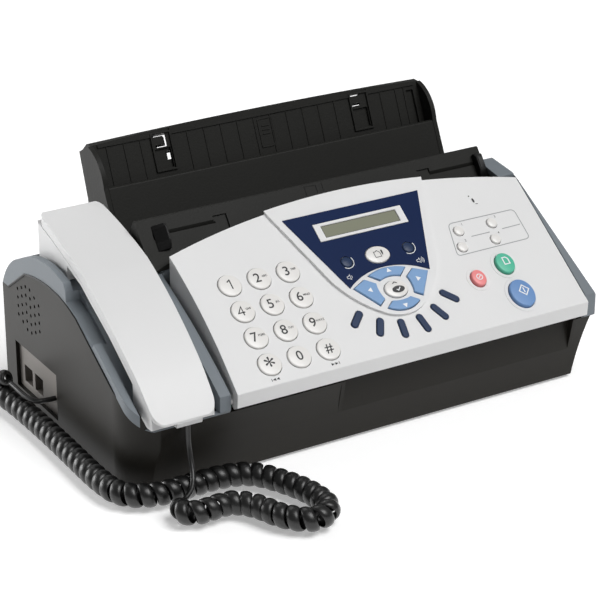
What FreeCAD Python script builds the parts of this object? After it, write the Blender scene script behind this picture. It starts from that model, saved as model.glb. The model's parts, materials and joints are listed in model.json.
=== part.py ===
import FreeCAD, Part
import Sketcher
import math
import os
from types import SimpleNamespace

# Desktop fax machine with a corded handset. X runs to the right, Y to the back, Z up,
# with the origin on the table under the middle of the housing.

Vector = FreeCAD.Vector
doc = FreeCAD.newDocument("fax_machine")
sheet = doc.addObject("Spreadsheet::Sheet", "Sizes")

# Driving dimensions, in millimetres, degrees and counts
sizes = {
    # housing
    "case_width": 314.0, "case_depth": 185.0, "wall": 2.5, "high": 200.0, "front_foot_y": -76.0,
    "front_mid_y": -77.5, "front_mid_z": 21.0, "front_top_y": -82.0, "front_top_z": 42.2,
    "knee_y": -10.0, "knee_z": 85.0, "crown_y": 25.0, "crown_z": 91.5, "deck_front_y": 59.0,
    "deck_front_z": 86.8, "deck_rear_y": 83.0, "rear_z": 70.0, "corner_radius": 30.0,
    "right_foot_inset": 9.5, "right_lean_z": 48.0, "exit_left": -21.0, "exit_right": 143.0,
    "exit_low": 40.0, "exit_back_y": -76.0, "foot_height": 2.0, "foot_radius": 7.0, "foot_inset": 42.0,
    "foot_front_y": -55.0, "foot_rear_y": 74.0,
    # inner side frames, cross rail, main board and its posts
    "frame_left": -92.0, "frame_right": 133.0, "frame_wall": 3.0, "frame_front_y": -62.0,
    "frame_rear_y": 50.0, "frame_low_top": 44.0, "frame_high_top": 88.0, "rail_front_y": 33.0,
    "rail_rear_y": 40.0, "rail_top": 91.0, "board_z": 9.0, "board_thick": 1.6, "board_left": -80.0,
    "board_right": 120.0, "board_front": -60.0, "board_rear": 60.0, "post_radius": 4.0,
    "post_inset": 10.0,
    # control panel, with slopes measured down from the first row of number keys
    "panel_tilt": 34.9, "pad_y": -32.8, "pad_z": 94.7, "panel_left": -96.5, "panel_right": 148.5,
    "panel_skin": 2.5, "crease_slope": 68.2, "brow_y": -88.2, "brow_z": 46.8, "lip_y": -83.5,
    "lip_z": 44.2, "panel_rear_y": 3.5,
    "panel_corner_y": -10.0, "panel_front_fillet": 1.2, "panel_far_slope": -60.0, "hinge_y": -81.0,
    "hinge_z": 48.2, "hinge_pin": 1.5, "hinge_reach": 3.0, "hinge_gap": 0.1, "shield_x": 28.5,
    "shield_rise": 2.0, "shield_half_rear": 59.0, "shield_rear_slope": -52.0, "shield_half_mid": 37.0,
    "shield_mid_slope": 14.0, "shield_half_low": 14.0, "shield_low_slope": 42.0,
    "shield_bulge_half": 27.5, "shield_bulge_slope": 29.5, "shield_tip_slope": 46.3,
    "fascia_thick": 0.6, "fascia_half_rear": 48.0, "fascia_rear_slope": -33.0, "fascia_half_low": 28.0,
    "fascia_low_slope": 21.6, "fascia_arch_slope": 12.6, "lcd_half": 31.0, "lcd_rear_slope": -25.4,
    "lcd_front_slope": -13.0, "lcd_rise": 2.9, "lcd_drop": 6.0, "lcd_gap": 0.2, "glass_inset_x": 4.6,
    "glass_inset_s": 1.9, "glass_sink": 0.5, "key_board_drop": 8.4, "key_board_thick": 1.6,
    "key_board_left": -84.0, "key_board_right": 136.0, "key_board_rear_slope": -27.0,
    "key_board_front_slope": 60.0, "key_post": 2.4, "key_post_inset": 3.0,
    # keys
    "key_bottom": -6.4, "key_gap": 0.4, "key_edge": 0.7, "pad_x": -69.7, "key_pitch": 19.5,
    "row_pitch": 18.35, "number_radius": 7.2, "number_rise": 1.2, "nav_slope": 29.0, "nav_rise": 3.4,
    "menu_half_x": 7.7, "menu_half_s": 6.0, "ring_side": 26.0, "ring_top": 15.3, "ring_bottom": 14.6,
    "ring_inner": 10.7, "arrow_ease": 1.4, "answer_slope": 4.0, "answer_half_x": 8.1,
    "answer_half_s": 5.8, "answer_side": 21.7, "answer_round": 3.6, "oblong_long": 12.8,
    "oblong_wide": 4.3, "oblong_rise": 0.9, "oblong_fan_slope": 9.0, "oblong_fan_radius": 45.6,
    "oblong_step": 18.2, "touch_radius": 3.4, "touch_rise": 1.3, "touch_x": 90.0, "touch_pitch_x": 24.5,
    "touch_shift_x": -3.4, "touch_pitch_s": 11.4, "action_rise": 2.4, "start_x": 107.7,
    "start_slope": 52.0, "start_half_x": 8.0, "start_half_s": 9.6, "copy_x": 107.4, "copy_slope": 29.6,
    "copy_half_x": 6.1, "copy_half_s": 7.2, "stop_x": 85.1, "stop_slope": 34.9, "stop_half_x": 4.7,
    "stop_half_s": 5.6,
    # document strip and its guides
    "strip_left": -105.6, "strip_right": 136.0, "strip_wall": 3.0, "crest_y": 14.6, "crest_z": 125.4,
    "crest_flat": 1.5, "strip_fall": 1.3, "strip_low_y": -5.0, "strip_back_y": 36.0,
    "strip_back_z": 98.5, "strip_end_z": 99.5, "strip_front_y": 8.2, "strip_corner_y": -5.3,
    "strip_foot": 3.0, "guide_left_x": -89.0, "guide_right_x": 129.0, "guide_thick": 2.0,
    "guide_base": 8.0, "guide_base_high": 1.5, "guide_front_y": 2.0, "guide_rear_y": 12.0,
    "guide_high": 5.5, "guide_travel": 35.0, "guide_lift": 0.3, "stem_y": 8.0, "stem_half": 1.0,
    "stem_long": 6.0, "stem_gap": 0.3, "stem_drop": 6.0,
    # paper hopper
    "tray_left": -104.2, "tray_right": 133.4, "tray_wall": 3.0, "tray_top_y": 76.8, "tray_top_z": 151.5,
    "tray_arch_z": 154.6, "tray_bow_y": 63.4, "tray_bow_z": 144.4, "tray_rear_y": 88.7,
    "tray_rear_z": 144.9, "tray_waist_y": 79.2, "tray_waist_z": 117.8, "tray_foot_y": 72.0,
    "tray_nose_y": 56.6, "tray_nose_z": 131.0, "tray_low_y": 40.2, "tray_low_z": 97.5,
    "tray_plate": 2.5, "tray_gap": 9.8, "tray_floor_y": 42.0, "tray_floor_z": 92.0,
    # right side trim
    "trim_left": 149.0, "trim_front_y": -85.0, "trim_front_top": 58.5, "trim_rear_top": 112.5,
    "trim_rear_y": -7.5, "trim_bevel_front": 57.0, "trim_bevel_rear": 89.0, "trim_bevel_y": -5.0,
    "trim_lap_y": -2.5, "trim_lap_rise": 5.0, "trim_front_low": 44.0, "shoulder_left": 137.0,
    "shoulder_y": 14.6, "shoulder_z": 116.0, "shoulder_back_y": 37.0, "shoulder_back_z": 99.0,
    "shoulder_wall": 3.5,
    # handset cradle
    "cradle_right": -98.0, "cradle_rear_right": -108.0, "cradle_step_y": 1.0, "cradle_front_y": -83.5,
    "cradle_front_z": 53.9, "cradle_step_z": 99.1, "strip_bow_y": -41.0, "strip_bow_z": 79.6,
    "hump_y": 32.0, "hump_z": 105.0, "hump_front_y": 5.0,
    "hump_front_z": 102.0, "hump_back_y": 66.0, "hump_back_z": 94.7, "hump_end_y": 92.0,
    "hump_end_z": 70.6, "rim_rise": 6.5, "tub_drop": 13.0, "tub_gap": 0.6, "tub_front_y": -76.5,
    "trough_half": 23.6, "trough_gap": 0.7, "scoop_front_y": -33.5, "scoop_rear_y": 6.5,
    "scoop_floor": 1.9, "scoop_slope": 4.0, "scoop_depth": 9.0,
    # handset
    "handset_x": -128.7, "handset_half": 20.0, "handset_half_mid": 21.6, "handset_end_round": 7.0,
    "ear_round": 11.0, "ear_rear_y": 58.0, "handset_rear_y": 63.6, "handset_front_y": -89.0,
    "handset_top_y": 54.0, "handset_top_z": 126.3, "handset_neck_y": -4.0, "handset_neck_z": 110.5,
    "handset_neck_bow_y": 26.0, "handset_neck_bow_z": 119.8, "handset_grip_y": -69.0,
    "handset_grip_z": 69.5, "handset_grip_bow_y": -38.0, "handset_grip_bow_z": 91.4,
    "handset_nose_z": 49.0, "handset_nose_bow_y": -81.5, "handset_nose_bow_z": 57.3,
    "seam_rear_y": 57.3, "seam_rear_z": 120.5, "seam_mid_y": 29.5, "seam_neck_y": -4.0,
    "seam_neck_z": 104.8, "seam_bow_y": -38.0, "seam_bow_z": 86.0, "seam_mid_z": 115.0,
    "seam_grip_y": -71.5, "seam_grip_z": 62.3, "seam_front_z": 47.5, "ear_back_y": 62.4,
    "ear_back_z": 114.5, "ear_low_z": 104.0, "ear_foot_y": 53.5, "ear_foot_z": 95.2,
    "ear_front_y": 30.4, "ear_step_y": 15.4, "ear_step_z": 99.0, "throat_y": 2.0, "throat_z": 97.4,
    "mouth_top_y": -62.0, "mouth_top_z": 55.5, "mouth_bow_y": -29.0, "mouth_bow_z": 78.6,
    "mouth_back_y": -71.5, "mouth_back_z": 49.3, "mouth_foot_y": -79.0, "mouth_foot_z": 44.6,
    "mouth_front_y": -88.0, "mouth_set_back_y": -84.0, "cord_x": -127.0, "cord_tab_half": 8.0,
    "undercut_front_y": -64.0, "undercut_rear_y": 14.0, "undercut_side": 16.0, "undercut_lip": 2.2,
    "hook_y": 42.0, "hook_half_x": 4.0, "hook_half_y": 6.0, "hook_low": 86.0, "hook_gap": 0.4,
    "hook_rest": 0.2,
    # sockets, speaker and mains inlet
    "jack_front_y": 21.0, "jack_rear_y": 78.0, "jack_low": 7.0, "jack_high": 37.0, "jack_depth": 18.0,
    "socket_deep": 12.0, "line_socket": 11.0, "ext_socket_y": 51.6, "line_socket_y": 66.2,
    "line_socket_z": 17.0, "speaker_y": 55.8, "speaker_z": 57.0, "speaker_radius": 17.0,
    "speaker_deep": 16.0, "grille_z": 65.5, "grille_pitch_y": 5.9, "grille_pitch_z": 5.6,
    "grille_hole": 1.1, "grille_columns": 6, "grille_rows": 6, "inlet_x": 112.0, "inlet_z": 24.0,
    "inlet_half_x": 12.0, "inlet_half_z": 7.5, "inlet_deep": 18.0, "inlet_well": 4.4, "inlet_fit": 0.1,
    # paper drive
    "gear_module": 1.0, "platen_teeth": 36, "feed_teeth": 30, "pinion_teeth": 12, "gear_left": 137.5,
    "gear_width": 6.0, "tooth_top": 0.8, "tooth_root": 1.15, "tooth_share": 0.38, "tooth_lean": 20.0,
    "platen_y": 25.0, "platen_z": 62.0, "platen_radius": 9.0, "feed_y": -10.0, "feed_z": 80.0,
    "feed_radius": 6.0, "shaft_radius": 3.0, "shaft_gap": 0.05, "roller_gap": 3.0, "motor_radius": 13.0,
    "motor_length": 24.0, "contact_gap": 0.4, "head_wide": 10.0, "head_high": 14.0, "sensor_wide": 18.0,
    "sensor_high": 12.0,
    # curly handset cord
    "wire": 3.3, "curl_radius": 4.7, "curl_pitch": 7.6, "curl_ramp": 2.6, "curl_ease": 1.7,
    "curl_start": 60.0, "curl_end": 62.0,
}

for row, (name, value) in enumerate(sizes.items(), start=1):
    sheet.set("A%d" % row, name)
    sheet.set("B%d" % row, str(value))
    sheet.setAlias("B%d" % row, name)
doc.recompute()


# A size with its value and the sheet expression that gives it
class Dim:
    def __init__(self, text, value):
        self.text = text
        self.value = value

    def __add__(self, other):
        return Dim("(%s + %s)" % (self.text, text_of(other)), self.value + number(other))

    def __radd__(self, other):
        return Dim("(%s + %s)" % (text_of(other), self.text), number(other) + self.value)

    def __sub__(self, other):
        return Dim("(%s - %s)" % (self.text, text_of(other)), self.value - number(other))

    def __rsub__(self, other):
        return Dim("(%s - %s)" % (text_of(other), self.text), number(other) - self.value)

    def __mul__(self, other):
        return Dim("(%s * %s)" % (self.text, text_of(other)), self.value * number(other))

    def __rmul__(self, other):
        return Dim("(%s * %s)" % (text_of(other), self.text), number(other) * self.value)

    def __truediv__(self, other):
        return Dim("(%s / %s)" % (self.text, text_of(other)), self.value / number(other))

    def __neg__(self):
        return Dim("(-1 * %s)" % self.text, -self.value)


def text_of(size):
    return size.text if isinstance(size, Dim) else "(%.6f)" % size


def number(size):
    return size.value if isinstance(size, Dim) else float(size)


size = SimpleNamespace(**{name: Dim("Sizes." + name, float(value)) for name, value in sizes.items()})
tilt = math.radians(size.panel_tilt.value)
cos_tilt = Dim("cos(Sizes.panel_tilt * 1 deg)", math.cos(tilt))
sin_tilt = Dim("sin(Sizes.panel_tilt * 1 deg)", math.sin(tilt))
nothing = size.wall - size.wall
half_width = size.case_width / 2
half_depth = size.case_depth / 2
pieces = {}


# Building steps that every piece shares

def bind(thing, path, value):
    thing.setExpression(path, text_of(value))


def place(thing, corner, rotation=None):
    if rotation:
        thing.Placement = FreeCAD.Placement(Vector(), rotation)
    for axis, value in zip("xyz", corner):
        bind(thing, "Placement.Base." + axis, value)
    return thing


def box(name, low, high):
    thing = doc.addObject("Part::Box", name)
    for side, start, end in zip(("Length", "Width", "Height"), low, high):
        bind(thing, side, end - start)
    return place(thing, low)


def rod(name, start, radius, length, direction="z"):
    thing = doc.addObject("Part::Cylinder", name)
    bind(thing, "Radius", radius)
    bind(thing, "Height", length)
    turns = {"x": FreeCAD.Rotation(Vector(0, 1, 0), 90), "y": FreeCAD.Rotation(Vector(1, 0, 0), -90),
             "z": None}
    return place(thing, start, turns[direction])


def sketch_in(body, plane):
    sketch = body.newObject("Sketcher::SketchObject", body.Name + "_sketch")
    origin_plane = [part for part in body.Origin.OriginFeatures if part.Role == plane][0]
    sketch.AttachmentSupport = [(origin_plane, "")]
    sketch.MapMode = "FlatFace"
    return sketch


def pin_point(sketch, index, end, point):
    for kind, value in zip(("DistanceX", "DistanceY"), point):
        rule = sketch.addConstraint(Sketcher.Constraint(kind, index, end, number(value)))
        sketch.setExpression("Constraints[%d]" % rule, text_of(value))


def flat(point):
    return Vector(number(point[0]), number(point[1]), 0)


# An outline lists corners; a pair of points is an arc through the first to the second
def draw_outline(sketch, outline):
    steps = [entry if isinstance(entry[0], tuple) else (None, entry) for entry in outline]
    if flat(steps[-1][1]).distanceToPoint(flat(outline[0])) > 1e-6:
        steps.append((None, outline[0]))
    start = outline[0]
    for through, end in steps[1:]:
        first, last = flat(start), flat(end)
        curve = Part.Arc(first, flat(through), last) if through else Part.LineSegment(first, last)
        index = sketch.addGeometry(curve)
        near = 1 if sketch.getPoint(index, 1).distanceToPoint(first) < 1e-6 else 2
        pin_point(sketch, index, near, start)
        pin_point(sketch, index, 3 - near, end)
        start = end


def prism(name, outline, low, high, plane="YZ_Plane"):
    body = doc.addObject("PartDesign::Body", name)
    sketch = sketch_in(body, plane)
    draw_outline(sketch, outline)
    pad = body.newObject("PartDesign::Pad", name + "_pad")
    pad.Profile = sketch
    bind(pad, "Length", high - low)
    axis = {"YZ_Plane": "x", "XY_Plane": "z", "XZ_Plane": "y"}[plane]
    bind(body, "Placement.Base." + axis, high if plane == "XZ_Plane" else low)
    return body


def cut(name, base, tools):
    thing = doc.addObject("Part::Cut", name)
    thing.Base = base
    thing.Tool = tools[0] if len(tools) == 1 else fuse(name + "_tools", tools)
    return thing


def fuse(name, parts):
    thing = doc.addObject("Part::MultiFuse", name)
    thing.Shapes = parts
    return thing


def overlap(name, parts):
    thing = doc.addObject("Part::MultiCommon", name)
    thing.Shapes = parts
    return thing


def group(name, parts):
    thing = doc.addObject("Part::Compound", name)
    thing.Links = parts
    return thing


def soften(name, base, radius, wanted, kind="Part::Fillet"):
    doc.recompute()
    thing = doc.addObject(kind, name)
    thing.Base = base
    amount = number(radius)
    thing.Edges = [(index, amount, amount) for index,
                   edge in enumerate(base.Shape.Edges, start=1) if wanted(edge)]
    return thing


def keep(name, thing):
    thing.Label = name
    pieces[name] = thing
    return thing


# A point on the panel: across, down the slope and out along its normal
def on_panel(x, slope, rise):
    y = size.pad_y - cos_tilt * slope - sin_tilt * rise
    z = size.pad_z - sin_tilt * slope + cos_tilt * rise
    return x, y, z


def profile_point(slope, rise):
    return on_panel(nothing, slope, rise)[1:]


# A pad whose sketch lies in the panel's slope, X to the right and Y up the slope
def panel_body(name, draw, x, slope, low, high, turn=0.0):
    body = doc.addObject("PartDesign::Body", name)
    sketch = sketch_in(body, "XY_Plane")
    draw(sketch)
    pad = body.newObject("PartDesign::Pad", name + "_pad")
    pad.Profile = sketch
    bind(pad, "Length", high - low)
    lean = FreeCAD.Rotation(Vector(1, 0, 0), size.panel_tilt.value)
    place(body, on_panel(x, slope, low), lean.multiply(FreeCAD.Rotation(Vector(0, 0, 1), turn)))
    return body


def circle(sketch, radius):
    index = sketch.addGeometry(Part.Circle(Vector(), Vector(0, 0, 1), number(radius)))
    sketch.addConstraint(Sketcher.Constraint("Coincident", index, 3, -1, 1))
    rule = sketch.addConstraint(Sketcher.Constraint("Radius", index, number(radius)))
    sketch.setExpression("Constraints[%d]" % rule, text_of(radius))


def ellipse(sketch, half_x, half_s):
    across, along = number(half_x), number(half_s)
    if across >= along:
        sketch.addGeometry(Part.Ellipse(Vector(across, 0, 0), Vector(0, along, 0), Vector()))
    else:
        sketch.addGeometry(Part.Ellipse(Vector(0, along, 0), Vector(-across, 0, 0), Vector()))


def slot(sketch, long, wide):
    run, end = (long - wide) / 2, wide / 2
    draw_outline(sketch, [(-end, -run), ((nothing, -run - end), (end, -run)), (end, run),
                          ((nothing, run + end), (-end, run))])


# Housing

def base_shell():
    low, wall = size.foot_height, size.wall
    outer = prism("base_outer", [(size.front_foot_y, low), (half_depth, low), (half_depth, size.rear_z),
                                 (size.deck_rear_y, size.rear_z), (size.deck_front_y, size.deck_front_z),
                                 ((size.crown_y, size.crown_z), (size.knee_y, size.knee_z)),
                                 (size.front_top_y, size.front_top_z),
                                 ((size.front_mid_y, size.front_mid_z), (size.front_foot_y, low))],
                  -half_width, half_width)
    sides = prism("base_sides", [(-half_width, nothing), (half_width - size.right_foot_inset, nothing),
                                 (half_width, size.right_lean_z), (half_width, size.high),
                                 (-half_width, size.high)],
                  -size.case_depth, size.case_depth, "XZ_Plane")
    outer = overlap("base_round", [outer, sides, corner_plan("base_plan", nothing)])
    hollow = prism("base_hollow", [(size.front_foot_y + wall, low + wall), (half_depth - wall, low + wall),
                                   (half_depth - wall, size.rear_z - wall),
                                   (size.deck_rear_y - 1, size.rear_z - wall),
                                   (size.deck_front_y - wall, size.deck_front_z - wall / 2),
                                   (size.deck_front_y - wall, size.high),
                                   (size.front_top_y + wall, size.high),
                                   (size.front_top_y + wall, size.front_top_z),
                                   ((size.front_mid_y + wall, size.front_mid_z),
                                    (size.front_foot_y + wall, low + wall))],
                   -half_width + wall, half_width - wall)
    inner_sides = prism("base_inner_sides", [
        (-half_width, nothing), (half_width - size.right_foot_inset - wall, nothing),
        (half_width - wall, size.right_lean_z), (half_width - wall, size.high), (-half_width, size.high)],
        -size.case_depth, size.case_depth, "XZ_Plane")
    hollow = overlap("base_room", [hollow, inner_sides, corner_plan("base_inner_plan", wall)])
    recess = prism("exit_recess", [(size.front_mid_y, size.front_mid_z), (size.exit_back_y, size.exit_low),
                                   (size.exit_back_y + 2 * wall, size.exit_low),
                                   (size.exit_back_y + 2 * wall, size.crest_z),
                                   (size.front_top_y - 2 * wall, size.crest_z),
                                   (size.front_top_y - 2 * wall, size.front_mid_z)], size.exit_left,
                                   size.exit_right)
    exit_frame = prism("exit_frame", [(size.front_mid_y, size.front_mid_z),
                                      (size.front_top_y, size.front_top_z),
                                      (size.exit_back_y + wall, size.front_top_z),
                                      (size.front_mid_y + wall, size.front_mid_z)],
                       size.exit_left - wall, size.exit_right + wall)
    jack_hole = box("jack_hole", (-half_width - wall, size.jack_front_y, size.jack_low),
                    (-half_width + 2 * wall, size.jack_rear_y, size.jack_high))
    inlet_hole = box("inlet_hole", (size.inlet_x - size.inlet_half_x, half_depth - 2 * wall,
                                    size.inlet_z - size.inlet_half_z),
                     (size.inlet_x + size.inlet_half_x, half_depth + wall,
                      size.inlet_z + size.inlet_half_z))
    shell = cut("base_open", outer, [hollow, jack_hole, inlet_hole] + grille_holes())
    shell = cut("base_exit", fuse("base_exit_frame", [shell, exit_frame]), [recess])
    rail = box("cross_rail", (size.frame_left, size.rail_front_y, size.frame_high_top - size.frame_wall),
               (size.frame_right + size.frame_wall, size.rail_rear_y, size.rail_top))
    frames = [side_frame("left_frame", size.frame_left), side_frame("right_frame", size.frame_right)]
    posts = [rod("post_%d_%d" % (i, j), (x, y, low + wall / 2), size.post_radius,
                 size.board_z - low - wall / 2)
             for i, x in enumerate((size.board_left + size.post_inset, size.board_right - size.post_inset))
             for j, y in enumerate((size.board_front + size.post_inset, size.board_rear - size.post_inset))]
    keep("base_shell", fuse("base_all", [shell, rail] + frames + posts))


# Plan of the housing, with its large round corner at the front left
def corner_plan(name, inset):
    left, right, front = -half_width + inset, half_width, size.front_top_y + inset
    bend = size.corner_radius - inset
    reach = bend * (1 - math.sqrt(0.5))
    return prism(name, [(left, front + bend), ((left + reach, front + reach), (left + bend, front)),
                        (right, front), (right, half_depth), (left, half_depth)], nothing, size.high,
                        "XY_Plane")


def side_frame(name, left):
    low = size.foot_height + size.wall / 2
    frame = prism(name, [(size.frame_front_y, low), (size.frame_rear_y, low),
                         (size.frame_rear_y, size.frame_high_top), (size.feed_y, size.frame_high_top),
                         (size.frame_front_y, size.frame_low_top)], left, left + size.frame_wall)
    bores = [rod("%s_bore_%d" % (name, count), (left - 1, spot.y, spot.z),
                 size.shaft_radius + size.shaft_gap,
                 size.frame_wall + 2, "x") for count, spot in enumerate(gear_centres())]
    return cut(name + "_bored", frame, bores)


# Six columns of holes in a hexagon
def grille_holes():
    holes = []
    columns, rows = sizes["grille_columns"], sizes["grille_rows"]
    for column in range(columns):
        y = size.speaker_y + size.grille_pitch_y * (column - (columns - 1) / 2)
        count = rows - abs(2 * column - columns + 1) // 2
        for row in range(count):
            z = size.grille_z + size.grille_pitch_z * (row - (count - 1) / 2)
            holes.append(rod("grille_%d_%d" % (column, row), (-half_width - 1, y, z),
                             size.grille_hole, size.wall + 2, "x"))
    return holes


def rubber_feet():
    reach = half_width - size.foot_inset
    feet = [rod("foot_%d_%d" % (i, j), (x, y, nothing), size.foot_radius, size.foot_height)
            for i, x in enumerate((-reach, reach)) for j,
            y in enumerate((size.foot_front_y, size.foot_rear_y))]
    keep("rubber_feet", group("feet", feet))


def jack_block():
    left = -half_width + size.wall
    block = box("jack_body", (left, size.jack_front_y - size.wall, size.jack_low - 1),
                (-half_width + size.jack_depth, size.jack_rear_y + size.wall, size.jack_high + size.wall))
    wide = size.line_socket / 2
    sockets = [box("%s_socket" % name, (left - 1, y - wide, size.line_socket_z - wide),
                   (left + size.socket_deep, y + wide, size.line_socket_z + wide))
               for name, y in (("line", size.line_socket_y), ("ext", size.ext_socket_y))]
    keep("jack_block", cut("jack_cut", block, sockets))


def speaker():
    left = -half_width + size.wall
    cone = doc.addObject("Part::Cone", "speaker_back")
    bind(cone, "Radius1", size.speaker_radius)
    bind(cone, "Radius2", size.speaker_radius / 2)
    bind(cone, "Height", size.speaker_deep / 2)
    place(cone, (left + size.speaker_deep / 2, size.speaker_y, size.speaker_z),
          FreeCAD.Rotation(Vector(0, 1, 0), 90))
    rim = rod("speaker_rim", (left, size.speaker_y, size.speaker_z), size.speaker_radius,
              size.speaker_deep / 2, "x")
    keep("speaker", fuse("speaker_all", [rim, cone]))


def mains_inlet():
    fit = size.inlet_fit
    half_x = size.inlet_half_x - fit
    half_z = size.inlet_half_z - fit
    block = box("inlet_body", (size.inlet_x - half_x, half_depth - size.inlet_deep, size.inlet_z - half_z),
                (size.inlet_x + half_x, half_depth, size.inlet_z + half_z))
    flange = box("inlet_flange", (size.inlet_x - half_x - size.wall, half_depth - size.inlet_deep,
                                  size.inlet_z - half_z - size.wall),
                 (size.inlet_x + half_x + size.wall, half_depth - size.wall,
                  size.inlet_z + half_z + size.wall))
    wells = [rod("inlet_well_%d" % (side + 1), (size.inlet_x + side * size.inlet_well,
                                                half_depth - size.inlet_deep / 2, size.inlet_z),
                 size.inlet_well + fit, size.inlet_deep, "y") for side in (-1, 1)]
    keep("mains_inlet", cut("inlet_cut", fuse("inlet_both", [block, flange]), wells))


def main_board():
    keep("main_board", box("main_board_plate", (size.board_left, size.board_front, size.board_z),
                           (size.board_right, size.board_rear, size.board_z + size.board_thick)))


# Control panel

def panel_plan():
    middle = (size.panel_left + size.panel_right) / 2
    return prism("panel_plan", [(size.panel_left, -size.case_depth), (size.panel_right, -size.case_depth),
                                (size.panel_right, size.panel_corner_y),
                                ((middle, size.panel_rear_y), (size.panel_left, size.panel_corner_y))],
                 nothing, size.high, "XY_Plane")


def shield_outline(sketch):
    rear, mid = size.shield_half_rear, size.shield_half_mid
    bulge, low = size.shield_bulge_half, size.shield_half_low
    far, mid_y, bulge_y, low_y = (-size.shield_rear_slope, -size.shield_mid_slope, -size.shield_bulge_slope,
                                  -size.shield_low_slope)
    draw_outline(sketch, [(-rear, far), (-mid, mid_y), ((-bulge, bulge_y), (-low, low_y)),
                          ((nothing, -size.shield_tip_slope), (low, low_y)),
                          ((bulge, bulge_y), (mid, mid_y)),
                          (rear, far)])


def fascia_outline(sketch):
    rear, low = size.fascia_half_rear, size.fascia_half_low
    far, near = -size.fascia_rear_slope, -size.fascia_low_slope
    draw_outline(sketch, [(-rear, far), (-low, near), ((nothing, -size.fascia_arch_slope), (low, near)),
                          (rear, far)])


def lcd_outline(gap_x, gap_s):
    def draw(sketch):
        half = size.lcd_half + gap_x
        far, near = -size.lcd_rear_slope + gap_s, -size.lcd_front_slope - gap_s
        draw_outline(sketch, [(-half, near), (half, near), (half, far), (-half, far)])
    return draw


def front_crease(edge):
    crease = profile_point(size.crease_slope, nothing)
    bounds = edge.BoundBox
    return bounds.XLength > 10 and abs(bounds.YMin - crease[0].value) < 0.01 and bounds.YLength < 0.01


def panel_cover(holes):
    skin = size.panel_skin
    crease = profile_point(size.crease_slope, nothing)
    far_y, far_z = profile_point(size.panel_far_slope, nothing)
    inner_crease = profile_point(size.crease_slope - skin, -skin)
    inner_y, inner_z = profile_point(size.panel_far_slope - skin, -skin)
    slab = prism("panel_slab", [crease, (size.brow_y, size.brow_z), (size.lip_y, size.lip_z),
                                (size.knee_y, size.knee_z + 1), (far_y, size.crown_z), (far_y, far_z)],
                 size.panel_left, size.panel_right)
    slab = soften("panel_crease", slab, size.panel_front_fillet, front_crease)
    room = prism("panel_room", [inner_crease, (size.lip_y + skin, size.lip_z), (size.lip_y + skin, nothing),
                                (inner_y, nothing), (inner_y, inner_z)],
                 size.panel_left + skin, size.panel_right - skin)
    shield = panel_body("panel_shield", shield_outline, size.shield_x, nothing, -skin, size.shield_rise)
    posts = [panel_body("panel_post_%d_%d" % (i, j), lambda sketch: circle(sketch, size.key_post), x, slope,
                        -size.key_board_drop, -skin / 2)
             for i, x in enumerate((size.key_board_left + size.key_post_inset,
                                    size.key_board_right - size.key_post_inset))
             for j, slope in enumerate((size.key_board_rear_slope + size.key_post_inset,
                                        size.key_board_front_slope - size.key_post_inset))]
    pins = [rod("hinge_pin_%d" % count, (x, size.hinge_y, size.hinge_z), size.hinge_pin,
                size.hinge_reach + skin, "x")
            for count, x in enumerate((size.panel_left - size.hinge_reach, size.panel_right - skin))]
    plate = overlap("panel_plate", [fuse("panel_raised",
                                         [cut("panel_hollow", slab, [room]), shield] + posts),
                                    panel_plan()])
    keep("panel_cover", fuse("panel_whole", [cut("panel_cut", plate, holes)] + pins))


def display_fascia(holes):
    plate = panel_body("fascia_plate", fascia_outline, size.shield_x, nothing, size.shield_rise,
                       size.shield_rise + size.fascia_thick)
    keep("display_fascia", cut("fascia_cut", plate, holes))


def lcd_module():
    frame = panel_body("lcd_frame", lcd_outline(nothing, nothing), size.shield_x, nothing, -size.lcd_drop,
                       size.lcd_rise)
    glass = panel_body("lcd_glass", lcd_outline(-size.glass_inset_x, -size.glass_inset_s), size.shield_x,
                       nothing,
                       size.lcd_rise - size.glass_sink, size.lcd_rise + 1)
    keep("lcd_module", cut("lcd_cut", frame, [glass]))


def lcd_hole():
    return panel_body("lcd_hole", lcd_outline(size.lcd_gap, size.lcd_gap), size.shield_x, nothing,
                      -size.lcd_drop - 1, size.lcd_rise + 1)


def panel_board():
    def draw(sketch):
        far, near = -size.key_board_rear_slope, -size.key_board_front_slope
        draw_outline(sketch, [(size.key_board_left, near), (size.key_board_right, near),
                              (size.key_board_right, far), (size.key_board_left, far)])
    keep("panel_board", panel_body("panel_board_plate", draw, nothing, nothing,
                                   -size.key_board_drop - size.key_board_thick, -size.key_board_drop))


# Keys

def round_key(radius):
    return lambda sketch, gap: circle(sketch, radius + gap)


def oval_key(half_x, half_s):
    return lambda sketch, gap: ellipse(sketch, half_x + gap, half_s + gap)


def oblong_key(sketch, gap):
    slot(sketch, size.oblong_long + gap * 2, size.oblong_wide + gap * 2)


# Four keys in a shield-shaped ring, measured from the middle of the menu key
def arrow_outlines():
    side, top, low, inner = size.ring_side, size.ring_top, size.ring_bottom, size.ring_inner
    left = [(-side * 0.65, top * 0.7), (-side, top * 0.43), (-side * 0.58, -low * 0.56),
            (-inner * 0.96, -low * 0.33),
            ((-inner * 1.06, low * 0.07), (-inner, top * 0.41))]
    right = [(-x, y) if not isinstance(x, tuple) else ((-x[0], x[1]), (-y[0], y[1])) for x, y in left]
    up = [(-inner * 0.65, top * 0.51), ((nothing, top * 0.6), (inner * 0.65, top * 0.51)),
          (side * 0.5, top * 0.82),
          ((nothing, top), (-side * 0.5, top * 0.82))]
    down = [(-inner * 0.58, -low * 0.49), ((nothing, -low * 0.55), (inner * 0.58, -low * 0.49)),
            (side * 0.43, -low * 0.74), ((nothing, -low), (-side * 0.43, -low * 0.74))]
    return {"arrow_left_key": left, "arrow_right_key": right, "arrow_up_key": up, "arrow_down_key": down}


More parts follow.
